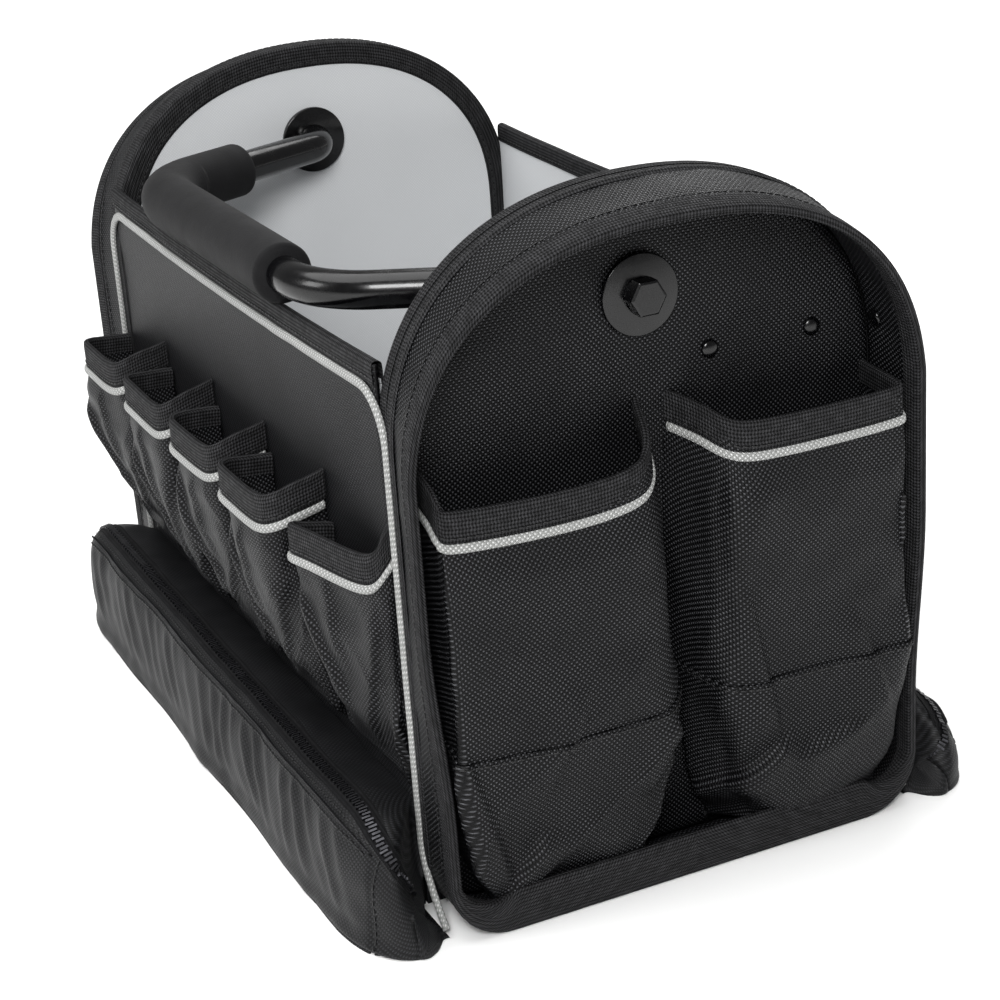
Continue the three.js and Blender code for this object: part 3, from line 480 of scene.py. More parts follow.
def makeHood(name, turn, seed):
    back = bag["halfLength"] + bag["gap"]

    def cloth(t, v):
        front = hoodFront(t)[1] + 2 * mm
        return turnRound(hoodSpot(t, mix(back, front, v), 0), turn)

    def dents(t, v, p):
        z = archAt(t)[1]
        lift = 1.6 * mm * rough(p, 55 * mm, seed) + 0.5 * mm * rough(p, 17 * mm, seed + 2)
        pucker = 0.35 * mm * math.sin(t * archRun / (9 * mm) * math.pi) * rough(p, 30 * mm, seed + 5)
        return (lift + pucker) * ease(z / (60 * mm)) * ease(v / 0.3) * ease((1 - v) / 0.35)

    shell = clothPiece(f"hoodCloth_{name}", cloth, hood["across"], 12, "cloth", fromBagMiddle, dents, loop=True)
    thicken(shell, hood["thick"])
    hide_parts(f"hood_{name}")

    def lip(t, v):  # rolled binding round the front edge
        front, start, tall = hoodFront(t)
        angle = v * 2 * math.pi
        a = math.copysign(abs(math.cos(angle)) ** 0.5, math.cos(angle))
        b = math.copysign(abs(math.sin(angle)) ** 0.5, math.sin(angle))
        x = mix(start, front, 0.5 + 0.5 * a)
        n = (b - 1) * tall / 2 + 0.9 * mm * (1 - archAt(t)[3])
        return turnRound(hoodSpot(t, x, n), turn)

    rim = clothPiece(f"hoodLip_{name}", lip, hood["across"], 28, "binding", None, loop=True)
    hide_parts(f"hood_binding_{name}")

    section = [(-1.2, -3.2), (-1.9, -1.0), (-1.2, 0.7), (1, 1.0), (4, 1.0), (hood["bandWide"] / mm - 1, 0.8)]
    section.append((hood["bandWide"] / mm, 0.2))

    def band(t, v):
        x, n = through(section, v)
        return turnRound(hoodSpot(t, bag["halfLength"] + x * mm, n * mm * (1 - archAt(t)[3])), turn)

    clothPiece(f"hoodBand_{name}", band, hood["across"], 12, "binding", fromBagMiddle, loop=True)
    for label, inFromLip in (("back", None), ("front", -2.2 * mm)):
        line = []
        for i in range(161):
            t = mix(0.14, 0.86, i / 160)
            x = hoodFront(t)[1] + inFromLip if inFromLip else bag["halfLength"] + hood["bandWide"] - 2.5 * mm
            spot = hoodSpot(t, x, 0.2 * mm if inFromLip else 0.9 * mm)
            y, z, out, *_ = archAt(t)
            line.append((turnRound(spot, turn), turnRound((0, out.x, out.y), turn)))
        seamStitches(f"hoodStitches_{name}_{label}", line)


makeHood("near", False, 1.0)
makeHood("far", True, 2.0)
print("hoods made")

panel = {
    "crown": 1.2 * mm,  # how far the padding stands out between its seams
    "ridge": 1.1 * mm,  # soft ridge beside the rivets
    "washerDip": 1.2 * mm,
    "rings": 44,
    "across": 220,
}


def inArch(t, inset, shrink=1.0):  # a place inside the outline, shrunk towards the middle
    y, z, out, *_ = archAt(t)
    middle = 170 * mm
    y, z = y - out.x * inset, z - out.y * inset
    return y * shrink, middle + (z - middle) * shrink


def makePanel(name, turn, seed):
    inner, outer = bag["halfLength"] - bag["panelThick"], bag["halfLength"]

    def board(t, v):  # from the middle of the inner face, over the edge, to the middle of the outer one
        facing = -1 if v < 0.5 else 1
        along = abs(v - 0.5) * 2  # 0 at the edge, 1 at the middle
        shrink = 1 - along
        y, z = inArch(t, 0.3 * mm, max(shrink, 0.0005))
        edge = ease((1 - shrink) / 0.04)
        x = mix((inner + outer) / 2, outer if facing > 0 else inner, edge)
        return turnRound((x, y, z), turn)

    def padding(t, v, p):
        if v < 0.5:
            return 0.0
        along = (v - 0.5) * 2
        y, z = abs(p.y), p.z
        fromBolt = math.hypot(p.y, p.z - bag["axisHeight"])
        lift = panel["crown"] * ease(along / 0.3)
        lift -= panel["washerDip"] * hill(fromBolt, 0, 30 * mm)
        ridge = math.hypot(y - 66 * mm, (z - 246 * mm) * 1.4) / (46 * mm)
        lift += panel["ridge"] * hill(ridge, 1.0, 0.22) * ease((z - 225 * mm) / (20 * mm))
        lift += 1.3 * mm * rough(p, 48 * mm, seed) * ease(along / 0.2)
        return lift + 0.4 * mm * rough(p, 14 * mm, seed + 3) * ease(along / 0.15)

    shell = clothPiece(
        f"panelCloth_{name}",
        board,
        panel["across"],
        panel["rings"] * 2,
        "cloth",
        lambda p: Vector((0, p.y, p.z - 170 * mm)),
        padding,
        flat=lambda p: (p.y, p.z),
        loop=True,
    )
    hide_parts(f"end_panel_{name}")

    def lining(t, v):
        y, z = inArch(t, bag["liningInset"] - 1.5 * mm, max(1 - v, 0.0005))
        fromBolt = math.hypot(y, z - bag["axisHeight"])
        puff = 0.9 * mm * ease(v / 0.25) * (1 - hill(fromBolt, 0, 26 * mm))
        puff += 0.5 * mm * rough((y, z, seed), 60 * mm, seed) * ease(v / 0.2)
        return turnRound((inner - 0.1 * mm - max(puff, 0), y, z), turn)

    sheet = clothPiece(
        f"panelLining_{name}",
        lining,
        panel["across"],
        panel["rings"],
        "lining",
        lambda p: Vector((-1 if p.x > 0 else 1, 0, 0)),
        flat=lambda p: (p.y, p.z),
        loop=True,
    )
    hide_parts(f"end_lining_{name}")

    section = [(0.25, -12.5), (-0.9, -12.2), (-1.3, -10), (-1.3, -3), (-1.0, -0.8), (0.2, 0.9), (3, 1.2), (8.2, 1.2)]

    def edging(t, v):
        x, n = through(section, v)
        y, z, out, foot, *_ = archAt(t)
        proud = max(n, 0) * ease((z - 240 * mm) / (30 * mm)) + min(n, 0)
        return turnRound((inner + x * mm, y + out.x * proud * mm, max(z + out.y * proud * mm, 0.1 * mm)), turn)

    clothPiece(
        f"panelEdging_{name}", edging, hood["across"], 18, "binding",
        lambda p: Vector((-1 if p.x > 0 else 1, 0, 0)), loop=True,
    )
    line = []
    for i in range(161):
        t = mix(0.12, 0.88, i / 160)
        y, z = inArch(t, 9.8 * mm)
        line.append((turnRound((inner - 1.5 * mm, y, z), turn), turnRound((-1, 0, 0), turn)))
    seamStitches(f"panelStitches_{name}", line)


makePanel("near", False, 3.0)
makePanel("far", True, 4.0)
print("end panels made")

wall = {"rimTall": 10 * mm, "rimProud": 1.0 * mm, "sway": 1.2 * mm}


def wallTop(x):
    return bag["wallHeight"] - bag["wallSag"] * (1 - (x / bag["halfLength"]) ** 2)


def makeWall(name, turn, seed):
    end = bag["halfLength"] - bag["panelThick"] - bag["gap"]
    outer, inner = bag["halfWidth"], bag["halfWidth"] - bag["wallThick"]

    def cloth(u, v):
        x = mix(-end, end, u)
        return turnRound((x, -outer, mix(0.5 * mm, wallTop(x) - 1 * mm, v)), turn)

    def sway(u, v, p):
        return wall["sway"] * (rough(p, 80 * mm, seed) - 0.4) * ease(v / 0.2) * ease((1 - v) / 0.2)

    away = (lambda p: Vector((0, 1, 0))) if turn else (lambda p: Vector((0, -1, 0)))
    towards = (lambda p: Vector((0, -1, 0))) if turn else (lambda p: Vector((0, 1, 0)))
    shell = clothPiece(f"wallCloth_{name}", cloth, 90, 50, "cloth", away, sway)
    thicken(shell, 2 * mm)
    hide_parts(f"side_wall_{name}")

    def lining(u, v):
        x = mix(-end, end, u)
        return turnRound((x, -inner + 0.2 * mm, mix(bag["floorTop"], wallTop(x) - 8 * mm, v)), turn)

    sheet = clothPiece(
        f"wallLining_{name}", lining, 90, 50, "lining", towards, lambda u, v, p: -sway(u, v, p)
    )

    proud = wall["rimProud"] / mm
    section = [(0.2, -10.2), (proud, -9.8), (proud, -1.2), (-0.4, 0.6), (-2.4, 0.6), (-3.2 - proud, -1.2)]
    section += [(-3.2 - proud, -9.8), (-2.6, -10.2)]

    def rim(u, v):
        x = mix(-end, end, u)
        y, z = through(section, v)
        wave = 0.5 * mm * rough((x, 0, seed), 40 * mm, seed)
        return turnRound((x, -outer - y * mm + wave, wallTop(x) + z * mm), turn)

    clothPiece(f"wallRim_{name}", rim, 150, 24, "binding", lambda p: Vector((0, 0, 1)))
    for label, y, out in (("outer", -outer - 1.3 * mm, -1), ("inner", -inner + 1.4 * mm, 1)):
        line = []
        for i in range(81):
            x = mix(-end + 3 * mm, end - 3 * mm, i / 80)
            line.append((turnRound((x, y, wallTop(x) - 7.5 * mm), turn), turnRound((0, out, 0), turn)))
        seamStitches(f"wallStitches_{name}_{label}", line)


makeWall("left", False, 5.0)
makeWall("right", True, 6.0)


def floorSheet(u, v):
    return Vector((mix(-203, 203, u) * mm, mix(-126, 126, v) * mm, bag["floorTop"] + 0.5 * mm))


floorLining = clothPiece(
    "floorLining", floorSheet, 60, 40, "fine", lambda p: Vector((0, 0, 1)),
    lambda u, v, p: 0.4 * mm * rough(p, 50 * mm, 7.0),
)
print("walls made")

piping = {"wide": 5 * mm, "proud": 2.4 * mm, "top": 268 * mm, "bend": 26 * mm, "sweepHeight": 44 * mm}
piping.update({"sweepReach": 28 * mm, "foot": 4 * mm})


def sidePipingLine():  # x and z, from the near foot up, along the wall and down to the far foot
    half = []
    for i in range(13):
        share = i / 12
        z = mix(piping["foot"], piping["sweepHeight"], share)
        half.append((sweepAt(z), z))
    for i in range(1, 20):
        half.append((bag["halfLength"], mix(piping["sweepHeight"], piping["top"] - piping["bend"], i / 20)))
    start = bag["halfLength"] - piping["bend"]
    sag = wallTop(bag["halfLength"]) - wallTop(start)
    for i in range(13):
        angle = i / 12 * math.pi / 2
        x = start + piping["bend"] * math.cos(angle)
        half.append((x, piping["top"] - sag - piping["bend"] * (1 - math.sin(angle))))
    for i in range(1, 14):
        x = start * (1 - i / 14)
        half.append((x, piping["top"] - wallTop(bag["halfLength"]) + wallTop(x)))
    middle = [(0.0, piping["top"] - bag["wallSag"])]
    return half + middle + [(-x, z) for x, z in reversed(half)]


def sweepAt(z):  # how far along the bag the piping stands at a height
    return bag["halfLength"] + piping["sweepReach"] * (1 - min(z / piping["sweepHeight"], 1)) ** 2


def alongLine(line, t):  # place and direction by length along a line of points
    runs = [0.0]
    for a, b in zip(line, line[1:]):
        runs.append(runs[-1] + math.dist(a, b))
    run = min(max(t, 0.0), 1.0) * runs[-1]
    k = 0
    while k < len(line) - 2 and runs[k + 1] < run:
        k += 1
    share = (run - runs[k]) / max(1e-12, runs[k + 1] - runs[k])
    spot = tuple(mix(a, b, share) for a, b in zip(line[k], line[k + 1]))
    before, after = line[max(k - 1, 0)], line[min(k + 2, len(line) - 1)]
    way = Vector([b - a for a, b in zip(before, after)]).normalized()
    return spot, way


def makeSidePiping(name, turn, seed):
    line = sidePipingLine()

    def cord(u, v):
        (x, z), way = alongLine(line, u)
        angle = v * 2 * math.pi
        across = Vector((way.y, -way.x)) * (piping["wide"] / 2 * math.cos(angle))
        y = -bag["halfWidth"] - 1.1 * mm - 1.7 * mm * math.sin(angle)
        wave = 0.35 * mm * rough((x, z, 0), 22 * mm, seed)
        return turnRound((x + across.x + wave, y, max(z + across.y + wave, 0.3 * mm)), turn)

    edge = clothPiece(f"sidePipingCord_{name}", cord, 420, 12, "piping", None)
    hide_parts(f"side_piping_{name}")


makeSidePiping("left", False, 8.0)
makeSidePiping("right", True, 9.0)
print("side pipings made")

base = {
    "reach": 45 * mm,
    "height": 66 * mm,
    "halfLength": 248 * mm,
    "cap": 0.05,  # share of half its length in which its drawn-in ends close
    "bulge": 3.5 * mm,  # how far those ends stand out
    "gatherPitch": 19 * mm,
    "gatherDeep": 2.4 * mm,
    "full": [(0, 0), (0.94, 0), (1.0, 0.2), (0.99, 0.55), (0.93, 0.82), (0.8, 0.96), (0.46, 1.0), (0, 0.93)],
    "slack": [(0, 0), (0.92, 0), (0.98, 0.12), (0.96, 0.3), (0.88, 0.43), (0.77, 0.53), (0.42, 0.74), (0, 0.88)],
    # along, out, up: how a section changes along half of the bag
    "rows": [(0, 1, 1), (0.3, 0.97, 0.99), (0.55, 1, 1), (0.76, 0.98, 1), (1, 0.98, 1)],
    "roundFrom": 0.78,
    "endShare": 0.45,
}


def baseShares(far):
    rows = base["rows"]
    for (a0, o0, u0), (a1, o1, u1) in zip(rows, rows[1:]):
        if far <= a1:
            t = ease((far - a0) / (a1 - a0))
            rounding = max(0.0, (far - base["roundFrom"]) / (1 - base["roundFrom"]))
            left = mix(base["endShare"], 1, max(0.0, 1 - rounding**2.4) ** 0.53)
            return mix(o0, o1, t) * left, mix(u0, u1, t) * left


def smoothLess(a, b, soft):  # the lesser of two, rounded where they meet
    near = max(0.0, 1 - abs(a - b) / soft)
    return min(a, b) - near * near * soft / 4


def baseSpot(shape, along, v, turn, out=0.0):
    # along from -1 to 1 and on over its drawn-in ends, v from the foot of the wall out, up and
    # back to the wall
    far = abs(along)
    o, u = baseShares(min(far, 1.0))
    a, b = through(base[shape], v)
    a0, b0 = through(base[shape], v - 0.01)
    a1, b1 = through(base[shape], v + 0.01)
    way = Vector((b1 - b0, -(a1 - a0))).normalized()
    closing = min(1.0, max(0.0, far - 1) / base["cap"])
    shrink = max(0.002, math.sqrt(1 - closing**2))
    a, b = mix(0.5, a, shrink), mix(0.42, b, shrink)
    y = base["reach"] * o * a + way.x * out
    z = max(base["height"] * u * b + way.y * out, 0.3 * mm)
    x = min(far, 1.0) * (base["halfLength"] - 1 * mm) + base["bulge"] * closing
    behindPiping = sweepAt(z) - 3.4 * mm + 1.5 * max(0.0, y - 3.5 * mm)
    x = smoothLess(x, behindPiping, 10 * mm)
    return turnRound((math.copysign(x, along), -bag["halfWidth"] - bag["gap"] - y, z), turn)


def baseLift(v, p, seed):  # how far its gathers and dents stand out at a place
    far = abs(p.x) / base["halfLength"]
    side = ease((v - 0.24) / 0.14) * ease((0.63 - v) / 0.08) * ease((0.9 - far) / 0.12)
    lean = p.x + 0.5 * p.z + 11 * mm * rough(p, 50 * mm, seed)
    fold = (0.5 + 0.5 * math.sin(lean / base["gatherPitch"] * 2 * math.pi)) ** 1.5
    strength = 0.2 + 1.5 * abs(rough((p.x, 0, 0), 40 * mm, seed + 1))
    lift = base["gatherDeep"] * (fold - 0.4) * side * strength
    lift += 2.2 * mm * rough(p, 45 * mm, seed + 2) * ease(v / 0.15) * ease((1 - v) / 0.15)
    lift += 0.8 * mm * rough(p, 15 * mm, seed + 4) * ease(v / 0.15)
    lift -= 0.9 * mm * hill(far, 0.935, 0.006) * ease(v / 0.1)
    return max(lift, -0.1 * mm) if p.z < 4 * mm else lift


def onBase(shape, along, v, turn, seed, out=0.0):  # a place on its cloth, or out from it
    return baseSpot(shape, along, v, turn, out + baseLift(v, baseSpot(shape, along, v, turn), seed))


def makeBase(name, shape, turn, seed):
    def cloth(u, v):
        along = (u - 0.5) * 2
        spread = math.copysign(1 - (1 - abs(along)) ** 1.25, along)  # closer rows towards the ends
        return baseSpot(shape, spread * (1 + base["cap"]), v, turn)

    def gathers(u, v, p):
        return baseLift(v, p, seed)

    away = (lambda p: Vector((0, 1, 0))) if turn else (lambda p: Vector((0, -1, 0)))
    shell = clothPiece(f"baseCloth_{name}", cloth, 400, 64, "baseCloth", away, gathers)
    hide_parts(f"base_compartment_{name}")

    def bead(v, radius):  # a sewn bead along the compartment
        def cord(u, w):
            along = mix(-0.93, 0.93, u)
            angle = w * 2 * math.pi
            spot = onBase(shape, along, v, turn, seed, radius * (0.4 + math.sin(angle)))
            return spot + Vector((0, 0, radius * 0.6 * math.cos(angle)))

        return cord

    low = clothPiece(f"baseFootBead_{name}", bead(0.16, 1.7 * mm), 300, 10, "binding", None)
    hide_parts(f"base_piping_{name}")
    clothPiece(f"baseTopBead_{name}", bead(0.655, 1.4 * mm), 300, 10, "binding", None)
    for label, v in (("top", 0.70), ("side", 0.61)):
        line = []
        for i in range(141):
            along = mix(-0.92, 0.92, i / 140)
            spot = onBase(shape, along, v, turn, seed, 0.4 * mm)
            line.append((spot, (spot - onBase(shape, along, v, turn, seed)).normalized()))
        seamStitches(f"baseStitches_{name}_{label}", line)
    for label, side in (("near", 1), ("far", -1)):  # the seam of a corner piece
        line = []
        for i in range(41):
            v = mix(0.14, 0.7, i / 40)
            spot = onBase(shape, side * 0.945, v, turn, seed, 0.4 * mm)
            line.append((spot, (spot - onBase(shape, side * 0.945, v, turn, seed)).normalized()))
        seamStitches(f"baseStitches_{name}_{label}", line)


makeBase("left", "full", False, 10.0)
makeBase("right", "slack", True, 11.0)

zipper = {
    "toothPitch": 2.0 * mm,
    "tooth": (1.1 * mm, 4.2 * mm, 1.3 * mm),
    "reach": 1.035,  # share of the compartment's half length, down its rounded end
    "lie": 0.79,  # place on the section's top
    "endLie": 0.72,
}


def zipSpot(shape, turn, seed, s, across, out):
    along = s * zipper["reach"]
    lie = mix(zipper["lie"], zipper["endLie"], ease((abs(s) - 0.8) / 0.2))
    return onBase(shape, along, lie + across, turn, seed, out)


def makeZip(name, shape, turn, seed):
    def tape(u, v):
        return zipSpot(shape, turn, seed, mix(-1, 1, u), (v - 0.5) * 0.11, 0.5 * mm + 0.5 * mm * hill(v, 0.5, 0.2))

    strip = clothPiece(f"zipTape_{name}", tape, 260, 8, "tape", lambda p: Vector((0, 0, 1)))
    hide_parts(f"base_zip_{name}")
    line = [zipSpot(shape, turn, seed, mix(-0.995, 0.995, i / 400), 0, 1.3 * mm) for i in range(401)]
    below = [zipSpot(shape, turn, seed, mix(-0.995, 0.995, i / 400), 0, 0) for i in range(401)]
    runs = [0.0]
    for a, b in zip(line, line[1:]):
        runs.append(runs[-1] + (b - a).length)
    mesh = bmesh.new()
    k, n = 0, 0
    while (n + 0.5) * zipper["toothPitch"] < runs[-1]:
        run = (n + 0.5) * zipper["toothPitch"]
        while runs[k + 1] < run:
            k += 1
        forward = (line[k + 1] - line[k]).normalized()
        up = (line[k] - below[k]).normalized()
        side = up.cross(forward).normalized()
        spot = line[k].lerp(line[k + 1], (run - runs[k]) / (runs[k + 1] - runs[k]))
        shift = side * (0.5 * mm if n % 2 else -0.5 * mm)
        turnTo = Matrix((forward, side, forward.cross(side))).transposed().to_4x4()
        grow = Matrix.Diagonal((*zipper["tooth"], 1.0))
        bmesh.ops.create_cube(mesh, size=1.0, matrix=Matrix.Translation(spot + shift) @ turnTo @ grow)
        n += 1
    finishPiece(f"zipTeeth_{name}", mesh, "zipMetal", smooth=False)


makeZip("left", "full", False, 10.0)
makeZip("right", "slack", True, 11.0)
print("base compartments made")

pocket = {
    "cloth": 2.2 * mm,
    "rim": 15 * mm,  # width of the binding round a mouth
    "rimProud": 1.0 * mm,
    "piping": 4.8 * mm,
    "pipingProud": 2.4 * mm,
    "footSeam": 97 * mm,  # top of the second layer at the foot of an end pocket
}
roundPlan = [(0, 0), (0, 0.55), (0.03, 0.82), (0.12, 0.97), (0.33, 1.0)]
roundPlan += [(1 - a, b) for a, b in reversed(roundPlan)]
squarePlan = [(0, 0), (0, 0.7), (0.006, 0.95), (0.05, 0.99)] + roundPlan[4:]
sideLevels = [(0, 0.16, 0.05, 0.03), (0.07, 0.2, 0.05, 0.03), (0.3, 0.5, 0.03, 0.02)]
sideLevels += [(0.62, 0.84, 0, 0), (0.83, 0.98, 0, 0), (1, 1, 0, 0)]
endLevels = [(0, 0.74, 0.2, 0.14), (0.035, 0.78, 0.16, 0.12), (0.15, 0.96, 0.07, 0.02)]
endLevels += [(0.4, 1.03, 0.01, -0.04), (0.7, 1.04, 0, -0.05), (1, 0.98, 0, 0)]


def sidePockets():
    room = 2 * (bag["halfLength"] - bag["gap"]) - 5 * mm
    pitch = room / 5
    for i in range(5):
        middle = room / 2 - pitch * (i + 0.5)
        first = i == 0
        left, right = middle - pitch / 2, middle + pitch / 2  # sides of its share of the wall
        slack = (i % 3 - 1) * 6 * mm
        yield {
            "creases": [
                (left + 9 * mm, 158 * mm + slack, middle - 6 * mm, 96 * mm, 3 * mm),
                (right - 8 * mm, 150 * mm - slack, middle + 8 * mm, 88 * mm + slack, 2.5 * mm),
                (middle + slack, 172 * mm, middle - 4 * mm, 120 * mm, 2 * mm),
            ],
            "plan": roundPlan,
            "wall": bag["halfWidth"],
            "levels": sideLevels,
            "depth": 31 * mm,
            "lean": (0.85, 0.3) if first else (1, 1),
            "start": left + 2.7 * mm,
            "end": right - 2.7 * mm,
            "splay": (0, 0),
            "foot": 69 * mm,
            "mouth": (179 * mm, 187 * mm, 205 * mm) if first else (190 * mm, 193 * mm, 205 * mm),
            "folds": 1.0, "puff": 2.5 * mm,
        }


def endPockets():
    side = bag["halfWidth"] - 3.5 * mm - 2.4 * mm - 2 * bag["gap"]
    shared = {"wall": bag["halfLength"], "depth": 35.5 * mm, "lean": (1, 1), "foot": 6 * mm, "folds": 1.3, "puff": 4.5 * mm}
    left = {"plan": squarePlan, "levels": endLevels, "start": -side, "end": -10 * mm, "splay": (0, 7 * mm), "hoodSide": 0}
    left["mouth"] = (238 * mm, 218 * mm, 242 * mm)
    # a crease runs from one place and height to another, with how far it stands out
    left["creases"] = [
        tuple(n * mm for n in crease)
        for crease in [(-103, 14, -79, 48, 4), (-122, 99, -98, 14, 3.5), (-12, 88, -27, 54, 3.5), (-60, 120, -84, 66, 2.5)]
    ]
    right = {
        "plan": [(1 - a, b) for a, b in reversed(squarePlan)],
        "levels": [(up, out, end, start) for up, out, start, end in endLevels],
        "start": 24 * mm,
        "end": side,
        "splay": (13 * mm, 0),
        "hoodSide": 1,
        "mouth": (242 * mm, 229 * mm, 234 * mm),
    }
    right["creases"] = [
        tuple(n * mm for n in crease)
        for crease in [(14, 28, 54, 64, 5), (58, 50, 96, 63, 3), (30, 150, 46, 62, 3.5), (92, 120, 110, 60, 2.5)]
    ]
    return [{**shared, **left}, {**shared, **right}]


def levelAt(shape, up):
    levels = shape["levels"]
    for low, high in zip(levels, levels[1:]):
        if up <= high[0]:
            t = ease((up - low[0]) / (high[0] - low[0])) * 0.5 + 0.5 * (up - low[0]) / (high[0] - low[0])
            return [mix(a, b, t) for a, b in zip(low[1:], high[1:])]
    return levels[-1][1:]


def pocketPlan(shape, u, up):
    out, startIn, endIn = levelAt(shape, up)
    if up < 0.03:  # drawn in to the wall along its foot
        out *= ease(up / 0.03) * 0.98 + 0.02
    width = shape["end"] - shape["start"]
    along, far = through(shape["plan"], u)
    splay = (1 - min(far, 1)) ** 2
    a = mix(shape["start"] + width * startIn, shape["end"] - width * endIn, along)
    a += -shape["splay"][0] * splay if along < 0.5 else shape["splay"][1] * splay
    return Vector((a, shape["depth"] * out * far * mix(*shape["lean"], along)))


def pocketTall(shape, u):
    start, middle, end = shape["mouth"]
    edge = start if u < 0.5 else end
    return middle + (edge - middle) * (1 - 2 * u) ** 2 - shape["foot"]


def pocketSpot(shape, u, up, out=0.0, lift=0.0):
    # u round the pocket's plan, up its height from foot to mouth, out from its cloth
    spot = pocketPlan(shape, u, up)
    before, after = pocketPlan(shape, max(u - 0.01, 0), up), pocketPlan(shape, min(u + 0.01, 1), up)
    way = (after - before).normalized()
    spot += Vector((-way.y, way.x)) * out
    z = shape["foot"] + pocketTall(shape, u) * up + lift
    return Vector((spot.x, -shape["wall"] - bag["gap"] - max(spot.y, 0.0), z))


def creaseAt(shape, a, z):  # a fold that is sharp on one side and runs out softly on the other
    total = 0.0
    for a0, z0, a1, z1, deep in shape["creases"]:
        run = Vector((a1 - a0, z1 - z0))
        t = (Vector((a - a0, z - z0)) @ run) / run.length_squared
        aside = ((a - a0) * run.y - (z - z0) * run.x) / run.length
        width = 12 * mm if aside > 0 else 2.6 * mm
        total += 1.3 * deep * ease((t + 0.15) / 0.3) * ease((1.15 - t) / 0.4) * hill(aside, 0, width)
    return total


def makePocket(name, shape, place, seed, looksAlong):
    # place() puts a pocket drawn on the left wall on its own wall
    tall = shape["mouth"][1] - shape["foot"]
    rimShare = 1 - pocket["rim"] / tall

    def cloth(u, v):
        return place(pocketSpot(shape, u, v * (1 - 3 * mm / tall)))

    def folds(u, v, p):
        hold = ease(v / 0.08) * (1 - 0.85 * ease((v - rimShare + 0.1) / 0.12)) * ease(u / 0.06) * ease((1 - u) / 0.06)
        if "hoodSide" in shape:  # it lies flat against the hood
            hold *= ease((abs(u - shape["hoodSide"]) - 0.14) / 0.16)
        a = u * 100 * mm
        slow = rough((a, 0, v * tall * 0.45), 30 * mm, seed)
        fast = rough((a, 0, v * tall * 0.6), 9 * mm, seed + 3)
        leftCrease = (1 - abs(rough((a + v * 60 * mm, 0, v * 30 * mm), 26 * mm, seed + 6))) ** 6
        rightCrease = (1 - abs(rough((a - v * 75 * mm, 0, v * 20 * mm), 30 * mm, seed + 9))) ** 6
        low = 1 - 0.75 * ease(v / 0.75)
        lift = 6.0 * slow + 0.6 * fast + 2.6 * (leftCrease - 0.3) * low + 2.2 * (rightCrease - 0.3) * low
        puff = shape["puff"] * ease((u - 0.12) / 0.33) * ease((0.88 - u) / 0.33) * math.sin(math.pi * v) ** 0.7
        spot = pocketSpot(shape, u, v)
        return hold * (mm * shape["folds"] * lift + puff + creaseAt(shape, spot.x, spot.z))

    outwards = place(Vector((0, -1, 0))) - place(Vector((0, 0, 0)))
    body = clothPiece(f"pocketCloth_{name}", cloth, 110, 84, "cloth", lambda p: outwards, folds)
    thicken(body, 1.6 * mm)
    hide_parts(f"{looksAlong}_pocket_{name}")

    def wavy(u):  # how a mouth's edge wanders out and up
        a = (u * 90 * mm, 0, 0)
        out = 1.3 * mm * rough(a, 26 * mm, seed + 8) + 0.4 * mm * rough(a, 12 * mm, seed + 10)
        return out * ease(u / 0.1) * ease((1 - u) / 0.1), 1.6 * mm * rough(a, 30 * mm, seed + 12)

    proud = pocket["rimProud"] / mm
    section = [(0.1, -15), (proud, -14.6), (proud + 0.1, -8), (proud, -1.5), (0, 0), (-1.6, 0), (-2.4 - proud * 0.5, -1.5)]
    section += [(-2.6, -8), (-2.4, -11)]

    def rim(u, v):
        out, down = through(section, v)
        wave, rise = wavy(u)
        return place(pocketSpot(shape, u, 1.0, out * mm + wave, down * mm + rise))

    clothPiece(f"pocketRim_{name}", rim, 84, 20, "binding", lambda p: Vector((0, 0, 1)))

    def cord(u, v):
        angle = v * 2 * math.pi
        out = 1.2 * mm + 1.5 * mm * math.sin(angle)
        down = -pocket["rim"] - pocket["piping"] / 2 + pocket["piping"] / 2 * math.cos(angle)
        u = mix(0.015, 0.985, u)
        wave, rise = wavy(u)
        return place(pocketSpot(shape, u, 1.0, out + wave, down + rise))

    edge = clothPiece(f"pocketPiping_{name}", cord, 96, 12, "piping", None)
    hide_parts(f"{looksAlong}_pocket_piping_{name}")
    line = []
    for i in range(61):
        u = mix(0.03, 0.97, i / 60)
        wave, rise = wavy(u)
        spot = place(pocketSpot(shape, u, 1.0, 1.25 * mm + wave, rise - 12.5 * mm))
        line.append((spot, (spot - place(pocketSpot(shape, u, 1.0, wave, rise - 12.5 * mm))).normalized()))
    seamStitches(f"pocketStitches_{name}", line)

    if shape["foot"] < 30 * mm:  # a second, finer layer round the foot of an end pocket
        topShare = (pocket["footSeam"] - shape["foot"]) / tall

        def patch(u, v):
            up = mix(0.01, topShare, v)
            return place(pocketSpot(shape, mix(0.02, 0.98, u), up, 0.9 * mm))

        def patchFolds(u, v, p):
            return folds(mix(0.02, 0.98, u), mix(0.01, topShare, v), p)

        lower = clothPiece(f"pocketFoot_{name}", patch, 110, 42, "cloth", lambda p: outwards, patchFolds)
        thicken(lower, 0.8 * mm)
        line = []
        for i in range(61):
            u = mix(0.04, 0.96, i / 60)
            spot = pocketSpot(shape, u, topShare, 1.5 * mm, -2.2 * mm)
            spot, back = place(spot), place(pocketSpot(shape, u, topShare, 0, -2.2 * mm))
            way = (spot - back).normalized()
            line.append((spot + way * folds(u, topShare, spot), way))
        seamStitches(f"pocketFootStitches_{name}", line)


